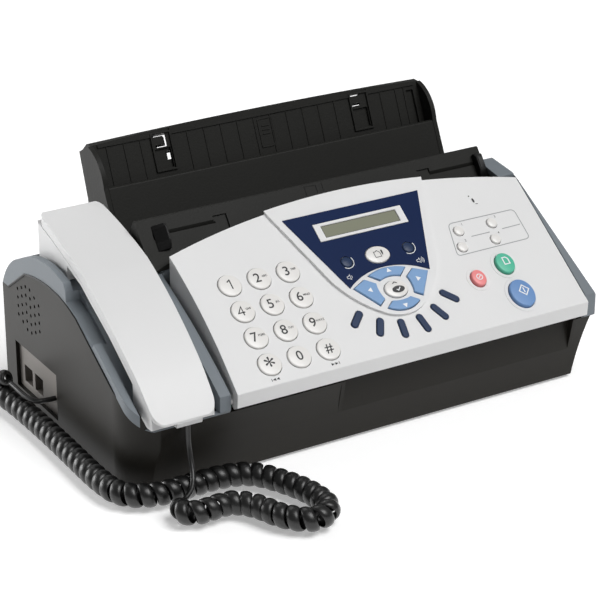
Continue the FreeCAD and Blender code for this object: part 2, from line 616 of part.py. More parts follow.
def arrow_key(outline):
    def draw(sketch, gap):
        points = [point for entry in outline for point in (entry if isinstance(entry[0],
                tuple) else (entry,))]
        middle = [sum(point[axis].value for point in points) / len(points) for axis in (0, 1)]
        reach = [max(abs(point[axis].value - middle[axis]) for point in points) for axis in (0, 1)]
        grow = [1 + size.arrow_ease.value * number(gap) / reach[axis] for axis in (0, 1)]

        def spread(point):
            return tuple(point[axis] * grow[axis] - middle[axis] * (grow[axis] - 1) for axis in (0, 1))

        draw_outline(sketch, [tuple(spread(point) for point in entry) if isinstance(entry[0], tuple)
                              else spread(entry) for entry in outline])
    return draw


# Name, outline, centre across, centre down the slope, rise above the panel, turn in the panel
def key_list():
    keys = []
    names = ("one", "two", "three", "four", "five", "six", "seven", "eight", "nine", "star", "zero", "hash")
    for count, name in enumerate(names):
        row, column = divmod(count, 3)
        keys.append(("key_" + name, round_key(size.number_radius), size.pad_x + size.key_pitch * column,
                     size.row_pitch * row, size.number_rise, 0.0))
    for count in range(6):
        turn = (count - 2.5) * size.oblong_step.value
        aside = size.oblong_fan_radius * math.sin(math.radians(turn))
        down = size.oblong_fan_slope + size.oblong_fan_radius * math.cos(math.radians(turn))
        keys.append(("oblong_key_%d" % (count + 1), oblong_key, size.shield_x + aside, down,
                     size.oblong_rise, turn))
    keys.append(("menu_key", oval_key(size.menu_half_x, size.menu_half_s), size.shield_x, size.nav_slope,
                 size.nav_rise, 0.0))
    for name, outline in arrow_outlines().items():
        keys.append((name, arrow_key(outline), size.shield_x, size.nav_slope, size.nav_rise, 0.0))
    keys.append(("answer_key", oval_key(size.answer_half_x, size.answer_half_s), size.shield_x,
                 size.answer_slope,
                 size.nav_rise, 0.0))
    for name, side in (("play_key", -1), ("erase_key", 1)):
        keys.append((name, round_key(size.answer_round), size.shield_x + side * size.answer_side,
                     size.answer_slope,
                     size.nav_rise, 0.0))
    for count in range(4):
        column, row = divmod(count, 2)
        keys.append(("touch_key_%d" % (count + 1), round_key(size.touch_radius),
                     size.touch_x + size.touch_pitch_x * column + size.touch_shift_x * row,
                     size.touch_pitch_s * row, size.touch_rise, 0.0))
    for name, x, slope, half_x, half_s in (
            ("stop_key", size.stop_x, size.stop_slope, size.stop_half_x, size.stop_half_s),
            ("copy_key", size.copy_x, size.copy_slope, size.copy_half_x, size.copy_half_s),
            ("start_key", size.start_x, size.start_slope, size.start_half_x, size.start_half_s)):
        keys.append((name, oval_key(half_x, half_s), x, slope, size.action_rise, 0.0))
    return keys


def keys_and_holes():
    holes = []
    for name, draw, x, slope, rise, turn in key_list():
        body = panel_body(name, lambda sketch, draw=draw: draw(sketch, nothing), x, slope,
                          size.key_bottom, rise, turn)
        doc.recompute()
        pad = body.Tip
        top = pad.Shape.BoundBox.ZMax
        edges = ["Edge%d" % count for count, edge in enumerate(pad.Shape.Edges, start=1)
                 if edge.BoundBox.ZMin > top - 1e-6]
        rounding = body.newObject("PartDesign::Fillet", name + "_edge")
        rounding.Base = (pad, edges)
        bind(rounding, "Radius", size.key_edge)
        keep(name, body)
        holes.append(panel_body(name + "_hole", lambda sketch, draw=draw: draw(sketch, size.key_gap), x,
                                slope,
                                size.key_bottom, size.nav_rise + 1, turn))
    return holes


# Document strip behind the panel

def strip_height(y):
    return size.crest_z - (size.crest_y - y) * size.strip_fall


def document_tray():
    wall = size.strip_wall
    low_y, back_y, back_z, flat_top = size.strip_low_y, size.strip_back_y, size.strip_back_z, size.crest_flat
    crest = (size.crest_y, size.crest_z)
    top = (size.crest_y + flat_top, size.crest_z)
    outer = prism("strip_outer", [(low_y, strip_height(low_y)), crest, top, (back_y, back_z),
                                  (back_y, size.rail_top), (back_y - size.strip_foot, size.rail_top),
                                  (back_y - size.strip_foot, size.strip_end_z), (low_y, size.strip_end_z)],
                  size.strip_left, size.strip_right)
    inner = prism("strip_inner", [(low_y - 1, strip_height(low_y - 1) - wall * 1.6),
                                  (size.crest_y, size.crest_z - wall * 1.6),
                                  (top[0], size.crest_z - wall * 1.6),
                                  (back_y - size.strip_foot, back_z - wall / 2),
                                  (back_y - size.strip_foot, size.strip_end_z - 1),
                                  (low_y - 1, size.strip_end_z - 1)],
                  size.strip_left + wall, size.strip_right - wall)
    middle = (size.strip_left + size.strip_right) / 2
    plan = prism("strip_plan", [(size.strip_left, size.strip_corner_y),
                                ((middle, size.strip_front_y), (size.strip_right, size.strip_corner_y)),
                                (size.strip_right, half_depth), (size.strip_left, half_depth)],
                 nothing, size.high, "XY_Plane")
    slots = []
    for name, x, side in (("left", size.guide_left_x, 1), ("right", size.guide_right_x, -1)):
        outer_end = x - side * (size.stem_long + size.stem_gap + size.guide_thick)
        inner_end = x + side * (size.guide_travel + size.stem_gap - size.guide_thick)
        low, high = (outer_end, inner_end) if side > 0 else (inner_end, outer_end)
        half = size.stem_half + size.stem_gap
        slots.append(box("%s_slot" % name, (low, size.stem_y - half, size.strip_end_z),
                         (high, size.stem_y + half, size.high)))
    keep("document_tray", cut("strip_cut", overlap("strip_shaped",
                                                   [cut("strip_hollow", outer, [inner]), plan]), slots))


def document_guide(name, x, side):
    lift = size.guide_lift
    front, rear = size.guide_front_y, size.guide_rear_y
    low_front, low_rear = strip_height(front) + lift, strip_height(rear) + lift

    def along(low, high):
        return (low, high) if side > 0 else (high, low)

    fin = prism(name + "_fin", [(front, low_front), (rear, low_rear),
                                (rear, low_rear + size.guide_high * 0.6),
                                (rear - size.guide_high * 0.4, low_rear + size.guide_high),
                                (front, low_front + size.guide_high)],
                *along(x - side * size.guide_thick, x))
    foot = prism(name + "_foot", [(front, low_front), (rear, low_rear),
                                  (rear, low_rear + size.guide_base_high),
                                  (front, low_front + size.guide_base_high)],
                                  *along(x - side * size.guide_base, x))
    stem_low, stem_high = along(x - side * (size.guide_thick + size.stem_long), x - side * size.guide_thick)
    stem = box(name + "_stem", (stem_low, size.stem_y - size.stem_half,
                                strip_height(size.stem_y) - size.stem_drop),
               (stem_high, size.stem_y + size.stem_half, strip_height(size.stem_y) + size.guide_base_high))
    keep(name, fuse(name + "_whole", [fin, foot, stem]))


# Paper hopper

def hopper_line(z, offset):
    # front face of the hopper, or a plane parallel to it further back
    run = (size.tray_nose_y - size.tray_low_y) / (size.tray_nose_z - size.tray_low_z)
    return size.tray_low_y + (z - size.tray_low_z) * run + offset


def deck_height(y):
    fall = (size.deck_front_z - size.rear_z) / (size.deck_rear_y - size.deck_front_y)
    return size.deck_front_z - (y - size.deck_front_y) * fall


def paper_tray():
    wall = size.tray_wall
    foot = (size.tray_foot_y, deck_height(size.tray_foot_y))
    rear = [(size.tray_rear_y, size.tray_rear_z), (size.tray_waist_y, size.tray_waist_z), foot,
            (size.deck_front_y, size.deck_front_z), (size.tray_floor_y, size.tray_floor_z)]
    top = (size.tray_top_y, size.tray_top_z)
    side_outline = [(size.tray_nose_y, size.tray_nose_z),
                    ((size.tray_bow_y, size.tray_bow_z), top)] + rear + [(size.tray_low_y, size.tray_low_z)]
    back = hopper_line(size.tray_low_z, size.tray_gap + size.tray_plate)
    lean = (size.tray_top_y - back) / (size.tray_top_z - size.tray_low_z)
    peak = (size.tray_top_y + (size.tray_arch_z - size.tray_top_z) * lean, size.tray_arch_z)
    back_outline = [peak] + rear[:-1] + [(back, size.deck_front_z + wall), (back, size.tray_low_z)]
    arch = prism("tray_arch", [
        (size.tray_left, size.tray_top_z),
        (((size.tray_left + size.tray_right) / 2, size.tray_arch_z), (size.tray_right, size.tray_top_z)),
        (size.tray_right, size.high), (size.tray_left, size.high)], size.tray_low_y, half_depth + wall,
        "XZ_Plane")
    hollow = [(size.tray_top_y + 2, size.tray_top_z - wall * 1.6),
              (size.tray_rear_y - wall, size.tray_rear_z - 1),
              (size.tray_waist_y - wall, size.tray_waist_z), (size.tray_foot_y - wall, nothing),
              (back + wall, nothing), (back + wall * 1.2, size.tray_low_z)]
    walls = [prism("tray_side_%d" % count, side_outline, x, x + wall)
             for count, x in enumerate((size.tray_left, size.tray_right - wall))]
    back_box = prism("tray_back", back_outline, size.tray_left + wall / 2, size.tray_right - wall / 2)
    back_room = prism("tray_room", hollow, size.tray_left + wall, size.tray_right - wall)
    keep("paper_tray", fuse("tray_whole", walls + [cut("tray_back_open", back_box, [back_room, arch])]))


def paper_tray_front():
    low, high = size.tray_low_z, size.tray_nose_z
    keep("paper_tray_front", prism("tray_front_plate", [
        (hopper_line(low, nothing), low), (hopper_line(high, nothing), high),
        (hopper_line(high, size.tray_plate), high), (hopper_line(low, size.tray_plate), low)],
        size.tray_left + size.tray_wall, size.tray_right - size.tray_wall))


# Right side trim with the shoulder behind the panel

def right_side_trim():
    bar = prism("trim_bar", [(size.trim_front_y, size.trim_front_low), (size.front_top_y, size.front_top_z),
                             (size.knee_y, size.knee_z),
                             (size.trim_lap_y, size.knee_z + size.trim_lap_rise),
                             (size.trim_lap_y, size.trim_rear_top), (size.trim_rear_y, size.trim_rear_top),
                             (size.trim_front_y, size.trim_front_top)],
                size.trim_left, half_width)
    shoulder_top = [(size.trim_rear_y, size.trim_rear_top), (size.shoulder_y, size.shoulder_z),
                    (size.shoulder_back_y, size.shoulder_back_z), (size.deck_front_y, size.deck_front_z)]
    outer = prism("shoulder_outer", shoulder_top + [((size.crown_y, size.crown_z),
                                                     (size.knee_y, size.knee_z)),
                                                    (size.trim_rear_y, size.knee_z + size.trim_lap_rise)],
                  size.shoulder_left, half_width)
    inner = prism("shoulder_inner", [(y, z - size.shoulder_wall) for y, z in shoulder_top[:3]]
                  + [(size.deck_front_y - size.shoulder_wall, size.deck_front_z - size.shoulder_wall),
                     (size.deck_front_y - size.shoulder_wall, nothing), (size.trim_rear_y - 5, nothing),
                     (size.trim_rear_y - 5, size.knee_z + size.trim_lap_rise),
                     (size.trim_rear_y, size.knee_z + size.trim_lap_rise)],
                  size.shoulder_left - 1, size.trim_left - size.shoulder_wall)
    whole = fuse("trim_both", [bar, cut("shoulder_shell", outer, [inner])])
    hole = rod("trim_pin_hole", (size.trim_left - 1, size.hinge_y, size.hinge_z),
               size.hinge_pin + size.hinge_gap,
               size.hinge_reach + 2, "x")
    front = Vector(half_width.value, size.trim_front_y.value, size.trim_bevel_front.value)
    top = Vector(size.trim_left.value, size.trim_bevel_y.value, size.trim_rear_top.value)
    side = Vector(half_width.value, size.trim_bevel_y.value, size.trim_bevel_rear.value)
    bevels = [bevel_block("trim_bevel", front, top - front, side - front),
              bevel_block("shoulder_bevel", side, Vector(0, 1, 0), top - side)]
    keep("right_side_trim", cut("trim_cut", whole, [hole] + bevels))


# A block on the outer side of the slanting plane through a point along two directions
def bevel_block(name, point, along, aside):
    outward = along.cross(aside)
    if outward.x < 0:
        outward = outward * -1
    turn = FreeCAD.Rotation(outward, along, Vector(), "XYZ")
    block = box(name, (nothing, nothing, nothing), (size.high, size.high * 2, size.high * 2))
    for path in ("x", "y", "z"):
        block.setExpression("Placement.Base." + path, None)
    block.Placement = FreeCAD.Placement(point - turn.multVec(Vector(0, size.high.value, size.high.value)),
                                        turn)
    return block


# Handset and its cradle

def handset_lower_line(gap):
    # underside of the handset from the ear end to the mouth end
    return [(size.ear_foot_y + gap, size.ear_foot_z - gap), (size.ear_front_y - gap, size.ear_foot_z - gap),
            (size.ear_step_y - gap, size.ear_step_z - gap), (size.throat_y - gap, size.throat_z - gap),
            ((size.mouth_bow_y + gap, size.mouth_bow_z - gap),
             (size.mouth_top_y + gap, size.mouth_top_z - gap)),
            (size.mouth_back_y + gap, size.mouth_back_z - gap),
            (size.mouth_foot_y + gap, size.mouth_foot_z - gap)]


def handset_plan(name, rear, bend):
    half, mid, corner = size.handset_half, size.handset_half_mid, size.handset_end_round
    front, x = size.handset_front_y, size.handset_x
    middle = (front + rear) / 2
    cove = corner * (1 - math.sqrt(0.5))
    bay = bend * (1 - math.sqrt(0.5))
    return prism(name, [
        (x - half, front + corner), ((x - half + cove, front + cove), (x - half + corner, front)),
        (x + half - corner, front), ((x + half - cove, front + cove), (x + half, front + corner)),
        ((x + mid, middle), (x + half, rear - bend)),
        ((x + half - bay, rear - bay), (x + half - bend, rear)), (x - half + bend, rear),
        ((x - half + bay, rear - bay), (x - half, rear - bend)),
        ((x - mid, middle), (x - half, front + corner))], nothing, size.high, "XY_Plane")


def handset_seam():
    # parting line from the ear end to the mouth end
    return [(size.seam_rear_y, size.seam_rear_z),
            ((size.seam_mid_y, size.seam_mid_z), (size.seam_neck_y, size.seam_neck_z)),
            ((size.seam_bow_y, size.seam_bow_z), (size.seam_grip_y, size.seam_grip_z)),
            (size.handset_front_y, size.seam_front_z)]


def handset_seam_back():
    return [(size.handset_front_y, size.seam_front_z), (size.seam_grip_y, size.seam_grip_z),
            ((size.seam_bow_y, size.seam_bow_z), (size.seam_neck_y, size.seam_neck_z)),
            ((size.seam_mid_y, size.seam_mid_z), (size.seam_rear_y, size.seam_rear_z))]


# Room for the fingers under both sides of the grip, and beside the cord's exit
def handset_undercuts(left, right):
    lip, front, rear = size.undercut_lip, size.undercut_front_y, size.undercut_rear_y
    below = [(rear, nothing), (rear, size.seam_neck_z + (rear - size.seam_neck_y) * 0.3 - lip),
             (size.seam_neck_y, size.seam_neck_z - lip), (size.seam_bow_y, size.seam_bow_z - lip),
             (front, size.seam_grip_z + (front - size.seam_grip_y) * 0.7 - lip), (front, nothing)]
    tools = []
    for name, low, high, tab_low, tab_high in (
            ("left", left, size.handset_x - size.undercut_side, left, size.cord_x - size.cord_tab_half),
            ("right", size.handset_x + size.undercut_side, right, size.cord_x + size.cord_tab_half, right)):
        tools.append(prism("handset_undercut_" + name, below, low, high))
        tools.append(box("mouth_set_back_" + name, (tab_low, size.mouth_front_y - 5, nothing),
                         (tab_high, size.mouth_set_back_y, size.high)))
    return tools


def handset():
    left, right = size.handset_x - size.handset_half_mid - 1, size.handset_x + size.handset_half_mid + 1
    seam = handset_seam()
    crown = [(size.handset_front_y, size.handset_nose_z),
             ((size.handset_nose_bow_y, size.handset_nose_bow_z),
              (size.handset_grip_y, size.handset_grip_z)),
             ((size.handset_grip_bow_y, size.handset_grip_bow_z),
              (size.handset_neck_y, size.handset_neck_z)),
             ((size.handset_neck_bow_y, size.handset_neck_bow_z), (size.handset_top_y, size.handset_top_z))]
    upper = overlap("handset_upper_shape", [prism("handset_upper_side", seam + crown, left, right),
                                            handset_plan("handset_upper_plan", size.ear_rear_y,
                                                         size.ear_round)])
    lower_line = handset_lower_line(nothing)
    under = handset_seam_back() + [(size.ear_back_y, size.ear_back_z),
                                   (size.handset_rear_y, size.ear_low_z)]
    lower = overlap("handset_lower_shape", [prism("handset_lower_side", under + lower_line + [
        (size.mouth_front_y, size.mouth_foot_z)], left, right),
        handset_plan("handset_lower_plan", size.handset_rear_y, size.ear_round)])
    keep("handset_upper", upper)
    keep("handset_lower", cut("handset_lower_grip", lower, handset_undercuts(left, right)))


def rim_line(rise):
    return [(size.front_top_y, size.front_top_z + rise), (size.knee_y, size.knee_z + rise)]


def handset_cradle():
    left, mid, right = -half_width, size.handset_x, size.cradle_right
    seam_back = [(size.deck_rear_y, size.rear_z), (size.deck_front_y, size.deck_front_z),
                 ((size.crown_y, size.crown_z), (size.knee_y, size.knee_z))]
    front = [(size.front_top_y, size.front_top_z), (size.cradle_front_y, size.front_top_z + 2)]
    hump = [((size.hump_y, size.hump_z), (size.hump_back_y, size.hump_back_z)),
            ((size.deck_rear_y, size.deck_front_z - 3), (size.hump_end_y, size.hump_end_z))]
    rim = rim_line(size.rim_rise)
    # top of the strip between handset and panel
    bowed = [(size.cradle_front_y, size.cradle_front_z),
             ((size.strip_bow_y, size.strip_bow_z), (size.cradle_step_y, size.cradle_step_z))]
    left_side = prism("cradle_left", [(size.hump_end_y, size.rear_z)] + seam_back + front
                      + [(size.cradle_front_y, rim[0][1])] + rim[1:]
                      + [(size.cradle_step_y, size.knee_z + size.rim_rise + 3),
                         (size.hump_front_y, size.hump_front_z)] + hump, left, mid)
    right_side = prism("cradle_mid", [(size.hump_end_y, size.rear_z)] + seam_back + front
                       + bowed + [(size.hump_front_y, size.hump_front_z)] + hump, mid,
                       size.cradle_rear_right)
    strip = prism("cradle_strip", [(size.cradle_step_y, size.knee_z + 1),
                                   (size.knee_y, size.knee_z)] + front + bowed,
                  size.cradle_rear_right, right)
    gap = size.tub_gap
    tub = prism("cradle_tub", [
        (size.hook_y + size.hook_half_y * 2, size.knee_z - size.tub_drop / 2),
        (size.throat_y, size.knee_z - size.tub_drop),
        (size.tub_front_y, size.front_top_z - size.tub_drop / 2),
        (size.tub_front_y, size.front_top_z + 2), (size.knee_y, size.knee_z + 2),
        (size.hook_y + size.hook_half_y * 2, size.knee_z + 3)], left + size.wall + gap,
        size.cradle_rear_right)
    tub = overlap("cradle_tub_round", [tub, corner_plan("cradle_tub_plan", size.wall + gap)])
    body = overlap("cradle_block", [fuse("cradle_sides", [left_side, right_side, strip]), cradle_plan()])
    keep("handset_cradle", cut("cradle_cut", fuse("cradle_full", [body, tub]), cradle_tools()))


def cradle_plan():
    left, front, bend = -half_width, size.cradle_front_y, size.corner_radius * 0.6
    reach = bend * (1 - math.sqrt(0.5))
    return prism("cradle_outer_plan", [(left, front + bend),
                                       ((left + reach, front + reach), (left + bend, front)),
                                       (size.cradle_right, front), (size.cradle_right, half_depth),
                                       (left, half_depth)], nothing, size.high, "XY_Plane")


def cradle_tools():
    gap = size.trough_gap
    line = handset_lower_line(gap)
    rear = size.handset_rear_y + gap
    trough = prism("cradle_trough", [(rear, size.high), (rear, size.ear_low_z - gap)] + line
                   + [(size.mouth_front_y - 10, size.mouth_foot_z - gap),
                      (size.mouth_front_y - 10, size.high)],
                   size.handset_x - size.trough_half, size.handset_x + size.trough_half)
    run = (size.knee_z - size.front_top_z) / (size.knee_y - size.front_top_y)
    low_y, floor, slope = size.scoop_front_y + size.scoop_slope, size.scoop_floor, size.scoop_slope
    scoop = prism("cradle_scoop", [
        (size.scoop_rear_y, size.high), (size.scoop_rear_y - slope, size.knee_z + floor + slope),
        (size.knee_y, size.knee_z + floor), (low_y, size.knee_z + (low_y - size.knee_y) * run + floor),
        (size.scoop_front_y, size.knee_z + (low_y - size.knee_y) * run + size.rim_rise),
        (size.scoop_front_y, size.high)], -half_width - 1, -half_width + size.scoop_depth)
    pin_hole = rod("cradle_pin_hole", (size.cradle_right - size.hinge_reach - 1, size.hinge_y,
                                       size.hinge_z),
                   size.hinge_pin + size.hinge_gap, size.hinge_reach + 2, "x")
    hook_hole = box("hook_hole", (size.handset_x - size.hook_half_x - size.hook_gap,
                                  size.hook_y - size.hook_half_y - size.hook_gap, size.hook_low - 20),
                    (size.handset_x + size.hook_half_x + size.hook_gap,
                     size.hook_y + size.hook_half_y + size.hook_gap, size.high))
    return [trough, scoop, pin_hole, hook_hole]


def hook_switch():
    keep("hook_switch", box("hook_plunger", (size.handset_x - size.hook_half_x,
                                             size.hook_y - size.hook_half_y,
                                             size.hook_low),
                            (size.handset_x + size.hook_half_x, size.hook_y + size.hook_half_y,
                             size.ear_foot_z - size.hook_rest)))


# Paper drive

# Axes of the platen, the feed roller and the pinion, which stands in mesh with both
def gear_centres():
    module = size.gear_module.value
    platen = Vector(0, size.platen_y.value, size.platen_z.value)
    feed = Vector(0, size.feed_y.value, size.feed_z.value)
    to_platen = module * (sizes["platen_teeth"] + sizes["pinion_teeth"]) / 2
    to_feed = module * (sizes["feed_teeth"] + sizes["pinion_teeth"]) / 2
    span = feed.sub(platen)
    along = (to_platen ** 2 - to_feed ** 2 + span.Length ** 2) / (2 * span.Length)
    aside = math.sqrt(to_platen ** 2 - along ** 2)
    direction = Vector(span).normalize()
    across = Vector(0, direction.z, -direction.y)
    return platen, feed, platen + direction * along + across * aside


def angle_to(start, end):
    return math.degrees(math.atan2(end.z - start.z, end.y - start.y))


# Turn of each gear at which the teeth interlock
def gear_turns():
    platen, feed, pinion = gear_centres()
    pinion_step = 360 / sizes["pinion_teeth"]
    feed_step = 360 / sizes["feed_teeth"]
    platen_turn = angle_to(platen, pinion)
    pinion_turn = platen_turn + 180 + pinion_step / 2
    ahead = (pinion_turn - angle_to(pinion, feed)) % pinion_step
    feed_turn = angle_to(pinion,
                         feed) + 180 - ahead * sizes["pinion_teeth"] / sizes["feed_teeth"] + feed_step / 2
    return platen_turn, feed_turn, pinion_turn


def gear(name, centre, teeth, turn):
    module = size.gear_module
    pitch = module * teeth / 2
    root, top = pitch - module * size.tooth_root, pitch + module * size.tooth_top
    half = module * math.pi * size.tooth_share / 2
    lean = math.tan(math.radians(size.tooth_lean.value))
    body = doc.addObject("PartDesign::Body", name)
    disk_sketch = sketch_in(body, "YZ_Plane")
    circle(disk_sketch, root)
    disk = body.newObject("PartDesign::Pad", name + "_disk")
    disk.Profile = disk_sketch
    bind(disk, "Length", size.gear_width)
    tooth_sketch = sketch_in(body, "YZ_Plane")
    foot, tip = half + module * size.tooth_root * lean, half - module * size.tooth_top * lean
    draw_outline(tooth_sketch, [(root - 0.5, -foot), (top, -tip), (top, tip), (root - 0.5, foot)])
    tooth = body.newObject("PartDesign::Pad", name + "_tooth")
    tooth.Profile = tooth_sketch
    bind(tooth, "Length", size.gear_width)
    doc.recompute()
    pattern = body.newObject("PartDesign::PolarPattern", name + "_teeth")
    pattern.Originals = [tooth]
    pattern.Axis = ([part for part in body.Origin.OriginFeatures if part.Role == "X_Axis"][0], [""])
    pattern.Angle = 360
    pattern.Occurrences = int(teeth)
    body.Tip = pattern
    return place(body, (size.gear_left, centre.y, centre.z), FreeCAD.Rotation(Vector(1, 0, 0), turn))


def rollers():
    centres, turns = gear_centres(), gear_turns()
    start, end = size.frame_left, size.gear_left + size.gear_width
    body_left = size.frame_left + size.frame_wall + size.roller_gap
    body_right = size.frame_right - size.roller_gap
    for count, (name, radius) in enumerate((("platen_roller", size.platen_radius),
                                            ("feed_roller", size.feed_radius))):
        spot = centres[count]
        shaft = rod(name + "_shaft", (start, spot.y, spot.z), size.shaft_radius, end - start, "x")
        tyre = rod(name + "_tyre", (body_left, spot.y, spot.z), radius, body_right - body_left, "x")
        teeth = sizes[name.replace("roller", "teeth")]
        keep(name, fuse(name + "_whole", [shaft, tyre, gear(name + "_gear", spot, teeth, turns[count])]))
    spot = centres[2]
    shaft = rod("pinion_shaft", (size.frame_right, spot.y, spot.z), size.shaft_radius,
                end - size.frame_right, "x")
    keep("motor_pinion", fuse("pinion_whole", [shaft,
                                               gear("pinion_gear", spot, sizes["pinion_teeth"], turns[2])]))
    keep("drive_motor", rod("motor_can", (size.frame_right - size.motor_length, spot.y, spot.z),
                            size.motor_radius,
                            size.motor_length, "x"))


def print_head():
    near = size.platen_y + size.platen_radius + size.contact_gap
    keep("print_head", box("print_head_bar", (size.frame_left + size.frame_wall, near,
                                              size.platen_z - size.head_high / 2),
                           (size.frame_right, near + size.head_wide, size.platen_z + size.head_high / 2)))


def image_sensor():
    top = size.feed_z - size.feed_radius - size.contact_gap
    keep("image_sensor", box("image_sensor_bar", (size.frame_left + size.frame_wall,
                                                  size.feed_y - size.sensor_wide / 2,
                                                  top - size.sensor_high),
                             (size.frame_right, size.feed_y + size.sensor_wide / 2, top)))


# Curly cord between the handset and its socket

# Route of the cord's axis: from under the handset's mouth end, down to the table, along the
# front in a loose loop, round the corner, along the left side and up into the socket
def cord_route():
    return [(-127.0, -85.6, 44.5), (-127.0, -85.6, 37.0), (-127.4, -88.0, 27.0), (-129.0, -95.0, 17.0),
            (-134.0, -102.5, 9.5), (-143.5, -107.0, 7.1), (-149.0, -114.5, 7.0), (-142.0, -121.5, 7.0),
            (-130.0, -120.5, 7.0), (-119.0, -120.0, 7.0),
            (-109.0, -130.0, 7.0), (-103.0, -149.0, 7.0), (-90.0, -162.0, 7.0), (-75.0, -155.0, 7.0),
            (-75.0, -134.0, 7.0), (-83.0, -113.0, 7.0), (-93.0, -96.5, 7.0), (-110.0, -91.5, 7.0),
            (-131.0, -92.0, 7.0), (-152.0, -92.0, 7.0), (-168.0, -82.0, 7.0), (-170.5, -60.0, 7.0),
            (-170.0, -30.0, 7.0), (-169.6, 0.0, 7.0), (-170.0, 28.0, 7.0), (-171.0, 50.0, 7.2),
            (-174.5, 63.0, 9.5), (-174.5, 69.5, 15.0), (-172.5, 64.0, 21.0), (-171.0, 53.0, 20.8),
            (-170.0, 40.0, 19.0),
            (-167.0, 30.5, 18.2), (-161.0, 29.0, 18.0), (-154.5, 29.0, 18.0)]


# Points along the quadratic spline that has the route as its control points
def smooth_axis(route, steps):
    points = [Vector(*point) for point in route]
    curve = [points[0]]
    for count in range(1, len(points) - 1):
        first = points[0] if count == 1 else (points[count - 1] + points[count]) * 0.5
        last = points[-1] if count == len(points) - 2 else (points[count] + points[count + 1]) * 0.5
        for step in range(1, steps + 1):
            part = step / steps
            curve.append(first * (1 - part) ** 2 + points[count] * (2 * part * (1 - part)) + last * part ** 2)
    return curve


def frames_along(curve):
    # distance, point and two directions across the curve, carried along without twisting
    across = Vector(1, 0, 0)
    rows, distance = [], 0.0
    for count, point in enumerate(curve):
        ahead = curve[min(count + 1, len(curve) - 1)] - curve[max(count - 1, 0)]
        ahead.normalize()
        across = across - ahead * across.dot(ahead)
        across.normalize()
        if count:
            distance += (point - curve[count - 1]).Length
        rows.append((distance, point, Vector(across), ahead.cross(across)))
    return rows


# The helix round the axis: it opens out over its first turns, where its pitch is longer, and closes again
def wound_line(rows):
    length = rows[-1][0]
    start, end = size.curl_start.value, length - size.curl_end.value
    ramp = size.curl_pitch.value * size.curl_ramp.value
    steps = 4000
    stride = (end - start) / steps

    def grown(distance):
        return min(max(min(distance - start, end - distance) / ramp, 0.0), 1.0)

    phases = [0.0]
    for count in range(steps):
        stretch = 1 + size.curl_ease.value * (1 - grown(start + stride * (count + 0.5)))
        phases.append(phases[-1] + stride / (size.curl_pitch.value * stretch))
    turns = round(phases[-1])

    def phase_at(distance):
        spot = min(max((distance - start) / stride, 0.0), steps - 1e-6)
        low = int(spot)
        return (phases[low] + (phases[low + 1] - phases[low]) * (spot - low)) * turns / phases[-1]

    def point_at(distance):
        low, high = 0, len(rows) - 1
        while high - low > 1:
            half = (low + high) // 2
            low, high = (half, high) if rows[half][0] <= distance else (low, half)
        part = (distance - rows[low][0]) / (rows[high][0] - rows[low][0])
        axis, across, upright = (rows[low][count] * (1 - part) + rows[high][count] * part for count in (1,
                2, 3))
        opened = grown(distance)
        radius = size.curl_radius.value * opened * opened * (3 - 2 * opened)
        angle = 2 * math.pi * phase_at(distance)
        return axis + across * (radius * math.cos(angle)) + upright * (radius * math.sin(angle))

    return point_at, phase_at, start, end, turns, length


def biarc(first, first_way, last, last_way):
    # two arcs that leave the first point and reach the last along the given directions
    chord = last - first
    both = first_way + last_way
    bend = 2 * (1 - first_way.dot(last_way))
    slope = chord.dot(both)
    reach = chord.dot(chord) / (2 * slope) if bend < 1e-9 else \
        (-slope + math.sqrt(slope ** 2 + bend * chord.dot(chord))) / bend
    joint = (first + last + (first_way - last_way) * reach) * 0.5
    return [arc_from(first, first_way, joint), arc_from(last, -last_way, joint, True)]


def arc_from(start, way, end, backwards=False):
    chord = end - start
    side = chord - way * chord.dot(way)
    if side.Length < 1e-5:
        return Part.LineSegment(end, start) if backwards else Part.LineSegment(start, end)
    side.normalize()
    radius = chord.dot(chord) / (2 * chord.dot(side))
    centre = start + side * radius
    half_way = (start - centre) + (end - centre)
    middle = centre + half_way.normalize() * radius
    return Part.Arc(end, middle, start) if backwards else Part.Arc(start, middle, end)


def handset_cord():
    rows = frames_along(smooth_axis(cord_route(), 24))
    point_at, phase_at, start, end, turns, length = wound_line(rows)
    wire = size.wire.value
    spots = [wire + (start - wire) * count / 8 for count in range(8)] + [start]
    quarter, distance = 1, start
    while quarter < 4 * turns:
        distance += 0.02
        if phase_at(distance) >= quarter / 4:
            spots.append(distance)
            quarter += 1
    spots += [end + (length - wire - end) * count / 10 for count in range(11)]
    points = [point_at(spot) for spot in spots]
    ways = [(point_at(spot + 0.02) - point_at(spot - 0.02)).normalize() for spot in spots]
    ways[0] = (points[0] - rows[0][1]).normalize()
    ways[-1] = (rows[-1][1] - points[-1]).normalize()
    curves = [Part.LineSegment(rows[0][1], points[0])]
    for count in range(len(points) - 1):
        curves += biarc(points[count], ways[count], points[count + 1], ways[count + 1])
    curves.append(Part.LineSegment(points[-1], rows[-1][1]))
    edges = [curve.toShape() for curve in curves]
    path = Part.Wire(edges)
    ring = Part.Wire([Part.Circle(rows[0][1], ways[0], wire / 2).toShape()])
    shape = path.makePipeShell([ring], True, False)
    tightest = min(edge.Curve.Radius for edge in edges if isinstance(edge.Curve, Part.Circle))
    print("cord: %d curls, wire %.0f mm long, tightest radius %.2f" % (turns, path.Length, tightest))
    print("cord: volume %.0f against %.0f" % (shape.Volume, math.pi * wire ** 2 / 4 * path.Length))
    print("cord: least gap to itself %.2f mm" % (least_gap(path, wire) - wire))
    thing = doc.addObject("Part::Feature", "cord_tube")
    thing.Shape = shape
    keep("handset_cord", thing)


